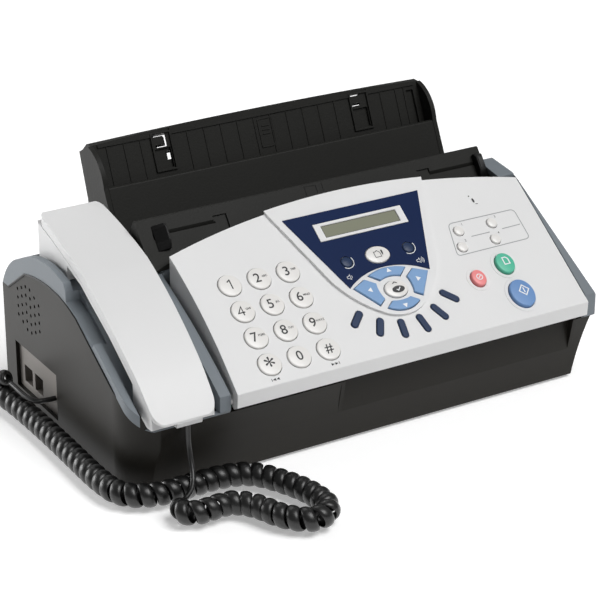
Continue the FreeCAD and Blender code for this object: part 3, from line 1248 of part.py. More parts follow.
# Least distance between points of the path that are not neighbours
def least_gap(path, wire):
    points = path.discretize(Number=6000)
    step = path.Length / (len(points) - 1)
    apart = int(3.2 * wire / step)
    cells = {}
    for count, point in enumerate(points):
        cells.setdefault(tuple(int(value // 10) for value in point), []).append(count)
    least = 1e9
    for count, point in enumerate(points):
        home = [int(value // 10) for value in point]
        for dx in (-1, 0, 1):
            for dy in (-1, 0, 1):
                for dz in (-1, 0, 1):
                    for other in cells.get((home[0] + dx, home[1] + dy, home[2] + dz), ()):
                        if other - count > apart:
                            least = min(least, point.distanceToPoint(points[other]))
    return least


# The whole machine

base_shell()
rubber_feet()
jack_block()
speaker()
mains_inlet()
main_board()
key_holes = keys_and_holes()
window = lcd_hole()
panel_cover(key_holes + [window])
display_fascia(key_holes + [window])
lcd_module()
panel_board()
document_tray()
document_guide("document_guide_left", size.guide_left_x, 1)
document_guide("document_guide_right", size.guide_right_x, -1)
paper_tray()
paper_tray_front()
right_side_trim()
handset()
handset_cradle()
hook_switch()
rollers()
print_head()
image_sensor()
handset_cord()
doc.recompute()

broken = [thing.Name for thing in doc.Objects if "Invalid" in thing.State or "Error" in thing.State]
poor = [name for name, thing in pieces.items() if thing.Shape.isNull() or not thing.Shape.isValid()]
if broken or poor:
    raise RuntimeError("not built: %s %s" % (broken, poor))
os.makedirs("parts", exist_ok=True)
for name, thing in pieces.items():
    thing.Shape.exportStep("parts/%s.step" % name)
print("%d pieces written" % len(pieces))
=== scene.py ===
import bpy
import bmesh
import json
import math
from mathutils import Matrix, Vector


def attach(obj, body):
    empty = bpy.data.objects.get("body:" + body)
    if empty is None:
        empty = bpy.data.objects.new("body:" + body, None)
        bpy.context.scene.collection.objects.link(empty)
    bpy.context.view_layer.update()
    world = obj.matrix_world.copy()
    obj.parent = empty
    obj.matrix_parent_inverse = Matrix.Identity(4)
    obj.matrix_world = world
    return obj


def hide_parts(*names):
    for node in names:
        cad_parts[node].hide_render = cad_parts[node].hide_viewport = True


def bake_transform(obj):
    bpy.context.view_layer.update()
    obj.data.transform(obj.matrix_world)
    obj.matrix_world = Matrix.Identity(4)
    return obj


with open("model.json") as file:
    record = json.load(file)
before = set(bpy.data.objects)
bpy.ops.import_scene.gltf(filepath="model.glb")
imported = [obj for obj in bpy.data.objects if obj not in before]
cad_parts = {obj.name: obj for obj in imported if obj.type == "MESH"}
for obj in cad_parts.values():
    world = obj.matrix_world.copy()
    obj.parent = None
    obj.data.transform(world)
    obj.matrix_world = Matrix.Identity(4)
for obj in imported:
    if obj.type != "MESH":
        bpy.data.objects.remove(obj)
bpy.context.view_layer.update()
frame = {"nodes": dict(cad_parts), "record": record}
nodes = frame["nodes"]
mm = 0.001
print("frame loaded with %d nodes" % len(nodes))


# small helpers, with sizes in millimetres and angles in degrees

weld = {"near": 0.002, "flatAngle": 0.6}


def smooth(low, high, value):
    share = min(1.0, max(0.0, (value - low) / (high - low)))
    return share * share * (3 - 2 * share)


def hexColour(text):
    parts = [int(text[i:i + 2], 16) / 255 for i in (1, 3, 5)]
    return tuple(c / 12.92 if c <= 0.04045 else ((c + 0.055) / 1.055) ** 2.4 for c in parts) + (1.0,)


def pieceFrom(work, name, body, materials, smoothAngle=35):
    mesh = bpy.data.meshes.new(name)
    work.to_mesh(mesh)
    work.free()
    for polygon in mesh.polygons:
        polygon.use_smooth = True
    mesh.set_sharp_from_angle(angle=math.radians(smoothAngle))
    for material in materials:
        mesh.materials.append(material)
    piece = bpy.data.objects.new(name, mesh)
    bpy.context.scene.collection.objects.link(piece)
    if body:
        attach(piece, body)
    return piece


def edgeRounding(piece, width, segments=3, angle=30):
    rounding = piece.modifiers.new("rounding", "BEVEL")
    rounding.width = width * mm
    rounding.segments = segments
    rounding.limit_method = "ANGLE"
    rounding.angle_limit = math.radians(angle)
    rounding.harden_normals = True
    rounding.use_clamp_overlap = True
    return rounding


def mergedCopy(nodeName):
    work = bmesh.new()
    work.from_mesh(nodes[nodeName].data)
    bmesh.ops.remove_doubles(work, verts=work.verts, dist=weld["near"] * mm)
    flat = math.radians(weld["flatAngle"])
    bmesh.ops.dissolve_limit(work, angle_limit=flat, verts=work.verts, edges=work.edges)
    return work


# camera at the photograph's viewing angle

cameraLook = {"place": (-0.6566, -1.0882, 0.6309), "turn": (65.7, 0.0, -31.0), "lens": 137.7,
              "sensor": 36.0}

cameraData = bpy.data.cameras.new("camera")
cameraData.lens = cameraLook["lens"]
cameraData.sensor_width = cameraLook["sensor"]
camera = bpy.data.objects.new("camera", cameraData)
camera.location = cameraLook["place"]
camera.rotation_euler = [math.radians(a) for a in cameraLook["turn"]]
bpy.context.scene.collection.objects.link(camera)
bpy.context.scene.camera = camera
bpy.context.scene.view_settings.view_transform = "Standard"
print("camera placed")


# finishes: moulded plastic with a faint cloud in its colour and shine, and a fine grain

plasticLook = {"coatRough": 0.12, "cloudScale": 22.0, "cloudDetail": 3.0, "grainDetail": 2.0,
               "shineLow": 0.9, "shineHigh": 1.12, "grainDeep": 0.2}


def plastic(name, colour, rough, grain=1400, depth=0.12, drift=0.08, coat=0.0, specular=0.5):
    material = bpy.data.materials.new(name)
    material.use_nodes = True
    tree = material.node_tree
    shader = tree.nodes["Principled BSDF"]
    shader.inputs["Coat Weight"].default_value = coat
    shader.inputs["Coat Roughness"].default_value = plasticLook["coatRough"]
    shader.inputs["Specular IOR Level"].default_value = specular
    place = tree.nodes.new("ShaderNodeTexCoord")
    cloud = tree.nodes.new("ShaderNodeTexNoise")
    cloud.inputs["Scale"].default_value = plasticLook["cloudScale"]
    cloud.inputs["Detail"].default_value = plasticLook["cloudDetail"]
    tint = tree.nodes.new("ShaderNodeMixRGB")
    base = hexColour(colour)
    tint.inputs["Color1"].default_value = [c * (1 - drift) for c in base[:3]] + [1.0]
    tint.inputs["Color2"].default_value = [min(1.0, c * (1 + drift)) for c in base[:3]] + [1.0]
    shine = tree.nodes.new("ShaderNodeMapRange")
    shine.inputs["To Min"].default_value = rough * plasticLook["shineLow"]
    shine.inputs["To Max"].default_value = min(1.0, rough * plasticLook["shineHigh"])
    fine = tree.nodes.new("ShaderNodeTexNoise")
    fine.inputs["Scale"].default_value = grain
    fine.inputs["Detail"].default_value = plasticLook["grainDetail"]
    relief = tree.nodes.new("ShaderNodeBump")
    relief.inputs["Strength"].default_value = depth
    relief.inputs["Distance"].default_value = plasticLook["grainDeep"] * mm
    link = tree.links.new
    link(place.outputs["Object"], cloud.inputs["Vector"])
    link(place.outputs["Object"], fine.inputs["Vector"])
    link(cloud.outputs["Fac"], tint.inputs["Fac"])
    link(cloud.outputs["Fac"], shine.inputs["Value"])
    link(fine.outputs["Fac"], relief.inputs["Height"])
    link(tint.outputs["Color"], shader.inputs["Base Color"])
    link(shine.outputs["Result"], shader.inputs["Roughness"])
    link(relief.outputs["Normal"], shader.inputs["Normal"])
    return material


finishes = {
    "housing": plastic("darkHousing", "#211f1b", 0.4, grain=1100, depth=0.2, specular=0.16),
    "tray": plastic("darkTray", "#1f1f1d", 0.5, grain=900, depth=0.45, specular=0.15),
    # black of the document guides, darker than the tray plastic: partly their own colour, partly painted
    # shade of their shaded faces; the cradle joint line uses it too
    "guide": plastic("guideBlackAndShade", "#0c0c0c", 0.45, grain=900, depth=0.2, specular=0.2),
    "label": plastic("socketPlate", "#837e79", 0.5, grain=900, depth=0.1),
    "trim": plastic("blueGreyTrim", "#767d83", 0.45, grain=1300, depth=0.14, specular=0.35),
    "pale": plastic("paleShell", "#e4e4e4", 0.42, grain=1500, depth=0.07, drift=0.02),
    "navy": plastic("navyFascia", "#10234a", 0.4, grain=700, depth=0.02, specular=0.1),
    "lcdGlass": plastic("displayGlass", "#80826f", 0.25, grain=300, depth=0.02, coat=0.3),
    "number": plastic("numberKey", "#e9e7e4", 0.3, grain=900, depth=0.03, drift=0.02, coat=0.2),
    "arrow": plastic("arrowKey", "#7ba1cd", 0.35, grain=900, depth=0.05, drift=0.04),
    "oblong": plastic("oblongKey", "#1f3252", 0.4, grain=900, depth=0.05, specular=0.3),
    "start": plastic("startKey", "#6a92c6", 0.4, grain=900, depth=0.1),
    "copy": plastic("copyKey", "#55bf9f", 0.33, grain=900, depth=0.06),
    "stop": plastic("stopKey", "#ef8b8c", 0.33, grain=900, depth=0.06),
    "rubber": plastic("footRubber", "#1a1a1a", 0.8, grain=600, depth=0.3),
    "cord": plastic("cordSleeve", "#0e0e0e", 0.36, grain=500, depth=0.05),
    "roller": plastic("rollerRubber", "#2b2b2d", 0.75, grain=700, depth=0.3),
    "metal": plastic("plainSteel", "#b9bbbd", 0.35, grain=400, depth=0.1),
    "board": plastic("circuitBoard", "#1e5a30", 0.5, grain=200, depth=0.3, drift=0.25),
    "gear": plastic("gearPlastic", "#d6d2c8", 0.5, grain=800, depth=0.1),
    # dark print for signs and marks, and also laid as painted shade round the display glass
    "darkInkAndShade": plastic("darkPrintAndShade", "#2c2c2e", 0.5, grain=800, depth=0.02),
    # pale print for key and volume marks, and also the painted highlights beside the play and erase keys
    "paleInkAndHighlight": plastic("palePrintAndHighlight", "#eef0f2", 0.5, grain=800, depth=0.02),
    "greyInk": plastic("greyPrint", "#9a9c9e", 0.5, grain=800, depth=0.02),
}
finishes["metal"].node_tree.nodes["Principled BSDF"].inputs["Metallic"].default_value = 1.0
slotFinish = {"dark_housing": "housing", "blue_grey_trim": "trim", "pale_shell": "pale",
              "navy_fascia": "navy", "display": "pale", "number_key": "number", "arrow_key": "arrow",
              "oblong_key": "oblong", "start_key": "start", "copy_key": "copy", "stop_key": "stop",
              "rubber": "rubber", "cord": "cord", "roller": "roller", "metal": "metal", "board": "board",
              "gear": "gear"}
slotOf = {row["node"]: row["material_slot"] for row in frame["record"]["subparts"]}
bodies = frame["record"]["behaviour"]["bodies"]
bodyOf = {node: body for body, members in bodies.items() for node in members}
for nodeName, node in nodes.items():
    node.data.materials.clear()
    node.data.materials.append(finishes[slotFinish[slotOf[nodeName]]])
print("finishes made")


# places on the sloping control panel, on the paper tray's plate and on the document strip

slopes = {"panel": {"turn": 34.9, "y": -32.8, "z": 94.7},
          "tray": {"turn": 65.77, "y": 76.8, "z": 151.5},
          "strip": {"turn": 52.43, "y": 14.6, "z": 125.4}}


def on(slope, across, down, rise=0.0, spin=0.0):
    look = slopes[slope]
    turn = Matrix.Rotation(math.radians(look["turn"]), 4, "X")
    spot = Vector((across, look["y"], look["z"])) + turn.to_3x3() @ Vector((0, -down, rise))
    spun = Matrix.Translation(spot * mm) @ turn @ Matrix.Rotation(math.radians(spin), 4, "Z")
    return spun @ Matrix.Scale(mm, 4)


def placed(work, matrix):
    bmesh.ops.transform(work, matrix=matrix, verts=work.verts)
    return work


def joined(works):
    whole = bmesh.new()
    for work in works:
        mesh = bpy.data.meshes.new("joined")
        work.to_mesh(mesh)
        work.free()
        whole.from_mesh(mesh)
        bpy.data.meshes.remove(mesh)
    return whole


def filled(outline):
    work = bmesh.new()
    turnArea = sum(a[0] * b[1] - b[0] * a[1] for a, b in zip(outline, outline[1:] + outline[:1]))
    facingUp = outline if turnArea > 0 else outline[::-1]
    work.faces.new([work.verts.new((x, y, 0)) for x, y in facingUp])
    return work


def ribbon(points, width, closed=True):
    work = bmesh.new()
    rows = []
    count = len(points)
    for i, point in enumerate(points):
        before = points[i - 1] if closed or i else point
        after = points[(i + 1) % count] if closed or i < count - 1 else point
        pairs = ((before, point), (point, after))
        arms = [(Vector(b) - Vector(a)).normalized() for a, b in pairs if a != b]
        sides = [Vector((-arm.y, arm.x)) for arm in arms]
        aside = sum(sides, Vector((0, 0))).normalized()
        aside = aside * width / 2 / max(0.5, aside.dot(sides[0]))
        spot = Vector(point)
        rows.append([work.verts.new((*(spot + aside), 0)), work.verts.new((*(spot - aside), 0))])
    for here, there in zip(rows, rows[1:] + (rows[:1] if closed else [])):
        work.faces.new((here[0], here[1], there[1], there[0]))
    return work


def raised(work, height):
    made = bmesh.ops.extrude_face_region(work, geom=list(work.faces))["geom"]
    tops = [part for part in made if isinstance(part, bmesh.types.BMVert)]
    bmesh.ops.translate(work, vec=(0, 0, height), verts=tops)
    bmesh.ops.recalc_face_normals(work, faces=work.faces)
    return work


def ellipse(halfX, halfY, steps=32, start=0.0, sweep=360.0):
    around = [math.radians(start + sweep * i / steps) for i in range(steps + (sweep < 360))]
    return [(halfX * math.cos(a), halfY * math.sin(a)) for a in around]


def roundedLoop(corners, radius, steps=6):
    loop = []
    for i, corner in enumerate(corners):
        here = Vector(corner)
        start = here + (Vector(corners[i - 1]) - here).normalized() * radius
        end = here + (Vector(corners[(i + 1) % len(corners)]) - here).normalized() * radius
        for step in range(steps + 1):
            share = step / steps
            loop.append(tuple(start.lerp(here, share).lerp(here.lerp(end, share), share)))
    return loop


signBoldness = 0.008


def lettering(text, height):
    curve = bpy.data.curves.new("lettering", "FONT")
    curve.body = text
    curve.size = height
    curve.align_x = "CENTER"
    curve.align_y = "CENTER"
    curve.offset = height * signBoldness
    bare = bpy.data.objects.new("lettering", curve)
    mesh = bpy.data.meshes.new_from_object(bare)
    work = bmesh.new()
    work.from_mesh(mesh)
    bpy.data.objects.remove(bare)
    bpy.data.curves.remove(curve)
    bpy.data.meshes.remove(mesh)
    return work


def moved(work, across, up):
    bmesh.ops.translate(work, vec=(across, up, 0), verts=work.verts)
    return work


def printed(name, body, finish, works, matrix):
    return pieceFrom(placed(joined(works), matrix), name, body, [finishes[finish]])


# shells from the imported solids: finish, softened edge, and the share of it that small openings take

shellEdges = {"base_shell": ("housing", 1.0, 0.3), "handset_cradle": ("trim", 1.2, 0.4),
              "right_side_trim": ("trim", 2.0, 0.3), "panel_cover": ("pale", 1.0, 0.2),
              "handset_upper": ("pale", 2.2, 1.0), "handset_lower": ("pale", 1.2, 0.5),
              "paper_tray": ("tray", 0.7, 0.4), "paper_tray_front": ("tray", 0.6, 0.4),
              "document_tray": ("tray", 0.7, 0.3), "display_fascia": ("navy", 0.2, 0.5),
              "jack_block": ("label", 0.4, 0.5), "mains_inlet": ("housing", 0.4, 0.5)}
openingReach = 75.0
sharpAngle = 30.0


def weighEdges(work, openingShare):
    layer = work.edges.layers.float.new("bevel_weight_edge")
    sharp = {edge for edge in work.edges if edge.calc_face_angle(0.0) > math.radians(sharpAngle)}
    while sharp:
        group = [sharp.pop()]
        queue = list(group)
        while queue:
            beside = {edge for vertex in queue.pop().verts for edge in vertex.link_edges} & sharp
            sharp -= beside
            group += beside
            queue += beside
        spots = [vertex.co for edge in group for vertex in edge.verts]
        span = [max(spot[i] for spot in spots) - min(spot[i] for spot in spots) for i in range(3)]
        reach = Vector(span).length
        for edge in group:
            edge[layer] = openingShare if reach < openingReach * mm else 1.0


def softShell(nodeName, finish, edge, openingShare=1.0, work=None):
    work = work or mergedCopy(nodeName)
    weighEdges(work, openingShare)
    piece = pieceFrom(work, nodeName + "_shell", bodyOf[nodeName], [finishes[finish]])
    rounding = edgeRounding(piece, edge)
    rounding.limit_method = "WEIGHT"
    rounding.harden_normals = False
    evened = piece.modifiers.new("evened", "WEIGHTED_NORMAL")
    evened.mode = "FACE_AREA"
    evened.weight = 100
    evened.keep_sharp = True
    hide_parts(nodeName)


def carved(work, tools):
    parts = []
    for name, source in (("carvedBody", work), ("carvingTool", tools)):
        mesh = bpy.data.meshes.new(name)
        source.to_mesh(mesh)
        source.free()
        parts.append(bpy.data.objects.new(name, mesh))
        bpy.context.scene.collection.objects.link(parts[-1])
    body, tool = parts
    carving = body.modifiers.new("carving", "BOOLEAN")
    carving.operation = "DIFFERENCE"
    carving.solver = "EXACT"
    carving.use_self = True
    carving.object = tool
    seen = body.evaluated_get(bpy.context.evaluated_depsgraph_get())
    mesh = bpy.data.meshes.new_from_object(seen)
    result = bmesh.new()
    result.from_mesh(mesh)
    bpy.data.meshes.remove(mesh)
    for part in parts:
        left = part.data
        bpy.data.objects.remove(part)
        bpy.data.meshes.remove(left)
    return result


def block(low, high, bottom, top):
    outline = [(low[0], -low[1]), (high[0], -low[1]), (high[0], -high[1]), (low[0], -high[1])]
    work = raised(filled(outline), top - bottom)
    bmesh.ops.translate(work, vec=(0, 0, bottom), verts=work.verts)
    return work


# paper tray: raised head band, ribs, two slotted brackets and a raised page picture

trayForm = {
    "middle": 14.6, "half": 118.8, "arch": 3.2, "headDrop": 0.3, "headSteps": 20,
    "bandFoot": 2.0, "bandHigh": 0.9, "ribWide": 0.8, "ribLow": -0.2, "ribHigh": 0.5, "ribFoot": 36.0,
    "ribs": (-92.5, -81, -70, -38, -26.3, -14.6, -2.9, 8.7, 20.4, 32.1, 43.8, 55.5, 67.3, 101.8, 113.3,
             119.6),
    "brackets": ((-62.6, -49.6), (78.8, 91.8)), "bracketFoot": 23.0, "rim": 1.2, "rimHigh": 1.3,
    "pocketDeep": 1.7, "pocketHead": 9.6, "pocketClear": 3.0, "sidePocket": ((121.4, 4.5), (126.6, 34.0)),
    "slots": (((-61.4, 0.6), (-53.0, 2.1)), ((-54.6, 1.8), (-53.0, 8.6)), ((-60.4, 7.2), (-53.2, 8.8)),
              ((-54.8, 11.8), (-52.0, 16.8)), ((80.2, -0.1), (85.8, 1.5)), ((80.2, 6.2), (85.8, 7.8)),
              ((121.9, 30.5), (123.5, 32.6))),
    # the slots run through the plate along the camera's direction, given in the tray's own axes
    "sight": (0.469, -0.0548, -0.8811), "slotAhead": -4.0, "slotBeyond": 27.0,
    "page": ((11.2, -21.5), (19.5, -21.5), (21.2, -19.5), (21.2, -4.0), (11.2, -4.0)), "pageCorner": 0.6,
    "pageLine": 0.8, "pageHigh": 0.5, "row": ((-2.6, 0), (2.6, 0)), "rowLine": 0.7, "rowX": 16.0,
    "rows": (-8.5, -11.0, -13.5), "edge": 0.2,
}


def slotCutter(low, high):
    look = trayForm
    work = block(low, high, -1.0, 1.0)
    sight = Vector(look["sight"])
    for vertex in work.verts:
        reach = look["slotBeyond"] if vertex.co.z < 0 else look["slotAhead"]
        vertex.co = Vector((vertex.co.x, vertex.co.y, 0)) + sight * reach
    bmesh.ops.recalc_face_normals(work, faces=work.faces)
    return work


def trayHead(x):
    look = trayForm
    return look["arch"] * (1 - ((x - look["middle"]) / look["half"]) ** 2) - look["headDrop"]


def headBands():
    look = trayForm
    count, foot = look["headSteps"], -look["bandFoot"]
    steps = [look["middle"] + look["half"] * (i / count - 1) for i in range(2 * count + 1)]
    head = [(x, trayHead(x)) for x in steps[1:-1]]
    left, right = look["brackets"]
    bands = []
    for low, high in ((steps[1], left[0]), (left[1], right[0]), (right[1], steps[-2])):
        top = [spot for spot in head if low <= spot[0] <= high]
        outline = [(low, foot), (high, foot), (high, top[-1][1])] + top[::-1] + [(low, top[0][1])]
        bands.append(raised(filled(outline), look["bandHigh"]))
    return bands


def trayFrames():
    look = trayForm
    frames = []
    for low, high in look["brackets"]:
        loop = [(low, -look["bracketFoot"]), (high, -look["bracketFoot"]), (high, 0.0), (low, 0.0)]
        frames.append(raised(ribbon(loop, look["rim"]), look["rimHigh"]))
    page = roundedLoop(look["page"], look["pageCorner"])
    frames.append(raised(ribbon(page, look["pageLine"]), look["pageHigh"]))
    for up in look["rows"]:
        row = ribbon(look["row"], look["rowLine"], False)
        frames.append(raised(moved(row, look["rowX"], up), look["pageHigh"]))
    return frames


def makeTray():
    look = trayForm
    finish, edge, share = shellEdges["paper_tray"]
    rim, deep, clear = look["rim"], -look["pocketDeep"], look["pocketClear"]
    pockets = [block((low + rim, look["pocketHead"]), (high - rim, look["bracketFoot"] - rim), deep, clear)
               for low, high in look["brackets"]]
    pockets.append(block(*look["sidePocket"], deep, clear))
    body = carved(mergedCopy("paper_tray"), placed(joined(pockets), on("tray", 0, 0)))
    slots = [slotCutter(low, high) for low, high in look["slots"]]
    body = carved(body, placed(joined(slots), on("tray", 0, 0)))
    softShell("paper_tray", finish, edge, share, body)
    half = look["ribWide"] / 2
    ribs = [block((x - half, look["bandFoot"]), (x + half, look["ribFoot"]), look["ribLow"], look["ribHigh"])
            for x in look["ribs"]]
    groups = {"tray_head_band": headBands(), "tray_ribs": ribs, "tray_brackets": trayFrames()}
    for name, works in groups.items():
        piece = printed(name, "base", finish, works, on("tray", 0, 0))
        edgeRounding(piece, look["edge"], segments=2)


# document strip: grooves, wedge-shaped guides and a raised page picture; the right half mirrors the left

stripForm = {
    "middle": 20.0, "grooves": (((-56.5, 6.4), (-47.4, 9.6)), ((-49.4, 6.4), (-47.4, 19.0))),
    "grooveDeep": 1.2, "grooveClear": 2.0,
    "lip": ((-95.0, 10.9), (-51.0, 13.4)), "lipLow": -0.9, "lipTop": -0.02,
    "wedge": ((-97.0, 0.4), (-89.0, 0.4), (-89.0, 5.4), (-90.2, 5.4)), "wedgeSpan": (4.6, 20.4),
    "wedgeTaper": 5.0, "wedgeEnds": (0.55, 0.35), "wedgeEdge": 0.35,
    "page": ((8.6, -8.2), (14.8, -8.2), (16.4, -6.6), (16.4, -1.2), (8.6, -1.2)), "pageLine": 0.6,
    "pageHigh": 0.35, "bar": ((20.6, -9.0), (20.6, -0.8)), "barLine": 0.4, "barHigh": 0.3,
}


def mirrored(spots, side):
    return [(x if side < 0 else 2 * stripForm["middle"] - x, second) for x, second in spots]


def mirroredBlock(corners, side, bottom, top):
    ends = sorted(mirrored(corners, side))
    return block((ends[0][0], corners[0][1]), (ends[1][0], corners[1][1]), bottom, top)


def wedge(side):
    look = stripForm
    low, high = look["wedgeSpan"]
    taper, floor = look["wedgeTaper"], look["wedge"][0][1]
    nearShare, farShare = look["wedgeEnds"]
    work = filled(mirrored(look["wedge"], side))
    placed(work, Matrix.Translation((0, -low, 0)) @ Matrix.Rotation(math.radians(90), 4, "X"))
    lowered = Matrix.Translation((0, 0, -floor))
    bmesh.ops.scale(work, vec=(1, 1, nearShare), space=lowered, verts=work.verts)
    ends = list(work.faces)
    for reach, share in ((taper / 2, 1 / nearShare), (high - low - taper * 1.5, 1.0), (taper, farShare)):
        made = bmesh.ops.extrude_face_region(work, geom=ends)["geom"]
        tops = [part for part in made if isinstance(part, bmesh.types.BMVert)]
        bmesh.ops.translate(work, vec=(0, -reach, 0), verts=tops)
        bmesh.ops.scale(work, vec=(1, 1, share), space=lowered, verts=tops)
        ends = [part for part in made if isinstance(part, bmesh.types.BMFace)]
    bmesh.ops.recalc_face_normals(work, faces=work.faces)
    return work


def makeStrip():
    look = stripForm
    finish, edge, share = shellEdges["document_tray"]
    cutters, lips = [], []
    for side, node in ((-1, "document_guide_left"), (1, "document_guide_right")):
        for groove in look["grooves"]:
            cutters.append(mirroredBlock(groove, side, -look["grooveDeep"], look["grooveClear"]))
        lips.append(mirroredBlock(look["lip"], side, look["lipLow"], look["lipTop"]))
        # the wedges take the guide black, which carries painted shade as well as their own colour
        guide = printed(node + "_wedge", bodyOf[node], "guide", [wedge(side)], on("strip", 0, 0))
        edgeRounding(guide, look["wedgeEdge"], segments=2)
        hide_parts(node)
    body = carved(mergedCopy("document_tray"), placed(joined(cutters), on("strip", 0, 0)))
    softShell("document_tray", finish, edge, share, body)
    marks = [raised(ribbon(look["page"], look["pageLine"]), look["pageHigh"]),
             raised(ribbon(look["bar"], look["barLine"], False), look["barHigh"])]
    for name, works in (("strip_lips", lips), ("strip_page", marks)):
        piece = printed(name, "base", finish, works, on("strip", 0, 0))


# housing: dark joint line under the cradle, and the filler behind the panel's rear corner

jointLine = {
    "x": -157.0, "rise": 0.4, "radius": 0.75, "ringPoints": 10, "corner": 30.0, "cornerSteps": 12,
    "front": -82.0, "frontHigh": 42.2, "fall": 42.8 / 72.0,
    "line": ((83.0, 70.0), (59.0, 86.8), (48.0, 89.4), (36.0, 91.0), (25.0, 91.5), (13.0, 90.9), (1.0, 88.7),
             (-10.0, 85.0), (-28.0, 74.3), (-52.0, 60.0)),
    "fillerLow": (-97.8, -2.6, 87.0), "fillerHigh": (-84.0, 0.4, 99.3), "fillerEdge": 0.4,
}


def swept(line, ringPoints, crossAt):
    work = bmesh.new()
    ring = bmesh.ops.create_circle(work, cap_ends=True, segments=ringPoints, radius=1.0)["verts"]
    circle = [vertex.co.copy() for vertex in ring]
    edges = list(work.edges)
    for i, spot in enumerate(line):
        along = (line[min(i + 1, len(line) - 1)] - line[max(i - 1, 0)]).normalized()
        if i:
            made = bmesh.ops.extrude_edge_only(work, edges=edges)["geom"]
            edges = [part for part in made if isinstance(part, bmesh.types.BMEdge)]
            ring = [part for part in made if isinstance(part, bmesh.types.BMVert)]
        (first, firstHalf), (second, secondHalf) = crossAt(i, along)
        for vertex, place in zip(ring, circle):
            vertex.co = spot + first * place.x * firstHalf + second * place.y * secondHalf
    bmesh.ops.holes_fill(work, edges=edges, sides=0)
    bmesh.ops.recalc_face_normals(work, faces=work.faces)
    return work


def jointCross(i, along):
    aside = along.cross(Vector((0, 0, 1))).normalized()
    radius = jointLine["radius"] * mm
    return (aside, radius), (aside.cross(along), radius)


def makeJointLine():
    look = jointLine
    spots = [Vector((look["x"], y, z + look["rise"])) for y, z in look["line"]]
    for step in range(look["cornerSteps"] + 1):
        angle = math.radians(90 * step / look["cornerSteps"])
        x = look["x"] + look["corner"] * (1 - math.cos(angle))
        y = look["front"] + look["corner"] * (1 - math.sin(angle))
        z = look["frontHigh"] + (y - look["front"]) * look["fall"] + look["rise"]
        spots.append(Vector((x, y, z)))
    work = swept([spot * mm for spot in spots], look["ringPoints"], jointCross)
    piece = pieceFrom(work, "cradle_joint_line", "base", [finishes["guide"]])
    low, high = Vector(look["fillerLow"]), Vector(look["fillerHigh"])
    filler = bmesh.new()
    bmesh.ops.create_cube(filler, size=1.0)
    placed(filler, Matrix.Translation((low + high) / 2 * mm) @ Matrix.Diagonal([*((high - low) * mm), 1.0]))
    piece = pieceFrom(filler, "panel_corner_filler", "base", [finishes["trim"]])
    edgeRounding(piece, look["fillerEdge"], segments=2)


# panel cover: the left wall bows in a little between its ends

panelForm = {"wall": -93.4, "bow": 2.2, "front": -86.0, "rear": -9.0, "steps": 12, "cutNear": 0.001}


def makePanel():
    look = panelForm
    finish, edge, share = shellEdges["panel_cover"]
    work = mergedCopy("panel_cover")
    middle, half = (look["front"] + look["rear"]) / 2, (look["rear"] - look["front"]) / 2
    for step in range(1, look["steps"]):
        station = look["front"] + 2 * half * step / look["steps"]
        near = [part for group in (work.verts, work.edges, work.faces) for part in group]
        bmesh.ops.bisect_plane(work, geom=near, plane_co=(0, station * mm, 0), plane_no=(0, 1, 0),
                               dist=look["cutNear"] * mm)
    for vertex in work.verts:
        bowed = 1 - ((vertex.co.y / mm - middle) / half) ** 2
        if vertex.co.x < look["wall"] * mm and bowed > 0:
            vertex.co.x += look["bow"] * bowed * mm
    softShell("panel_cover", finish, edge, share, work)


reshaped = ("paper_tray", "document_tray", "panel_cover")
for nodeName, (finish, edge, share) in shellEdges.items():
    if nodeName not in reshaped:
        softShell(nodeName, finish, edge, share)
makeTray()
makeStrip()
makeJointLine()
makePanel()
print("shells made")


# keys: domed caps, each in place of its solid

keys = {"bottom": -6.4, "edge": 0.8, "edgeSteps": 6, "domeSteps": 8, "steps": 56, "weld": 0.0001,
        "smoothAngle": 40, "lift": 0.06}


def cap(halfX, halfY, rise, dome):
    short = min(halfX, halfY)
    edge = keys["edge"]
    profile = [(0.0, keys["bottom"]), (1.0, keys["bottom"])]
    for step in range(keys["edgeSteps"] + 1):
        angle = math.radians(90 * step / keys["edgeSteps"])
        profile.append((1 - edge / short * (1 - math.cos(angle)), rise - edge * (1 - math.sin(angle))))
    flat = profile[-1][0]
    for step in range(1, keys["domeSteps"] + 1):
        reach = flat * (1 - step / keys["domeSteps"])
        profile.append((reach, rise + dome * (1 - (reach / flat) ** 2)))
    work = bmesh.new()
    line = [work.verts.new((reach, 0, height)) for reach, height in profile]
    sides = [work.edges.new(pair) for pair in zip(line, line[1:])]
    bmesh.ops.spin(work, geom=line + sides, cent=(0, 0, 0), axis=(0, 0, 1), angle=math.tau,
                   steps=keys["steps"], use_merge=True)
    bmesh.ops.remove_doubles(work, verts=work.verts, dist=keys["weld"])
    bmesh.ops.scale(work, vec=(halfX, halfY, 1), verts=work.verts)
    bmesh.ops.recalc_face_normals(work, faces=work.faces)
    return work


def keyCap(nodeName, finish, across, down, halfX, halfY, rise, dome):
    piece = pieceFrom(placed(cap(halfX, halfY, rise, dome), on("panel", across, down)), nodeName + "_cap",
                      bodyOf[nodeName], [finishes[finish]], keys["smoothAngle"])
    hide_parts(nodeName)


def keyMark(nodeName, finish, works, across, down, rise):
    matrix = on("panel", across, down, rise + keys["lift"])
    printed(nodeName + "_mark", bodyOf[nodeName], finish, works, matrix)


numberPad = {
    "nodes": ("one", "two", "three", "four", "five", "six", "seven", "eight", "nine", "star", "zero", "hash"),
    "signs": "123456789*0#", "starScale": 1.7, "starDrop": -1.8, "signAside": -1.5,
    "letters": ("", "ABC", "DEF", "GHI", "JKL", "MNO", "PQRS", "TUV", "WXYZ", "", "", ""),
    "letterHigh": 1.9, "letterPlace": (3.4, 0.6),
    "x": -69.7, "pitch": 19.5, "rowPitch": 18.35, "radius": 7.2, "rise": 1.2, "dome": 0.25, "signHigh": 8.6,
    "stroke": 0.75,
    "drawn": {"one": [(-1.4, 2.0), (0.5, 3.1), (0.5, -3.1)],
              "four": [(0.9, -3.1), (0.9, 2.9), (-2.1, -1.1), (2.1, -1.1)]},
}


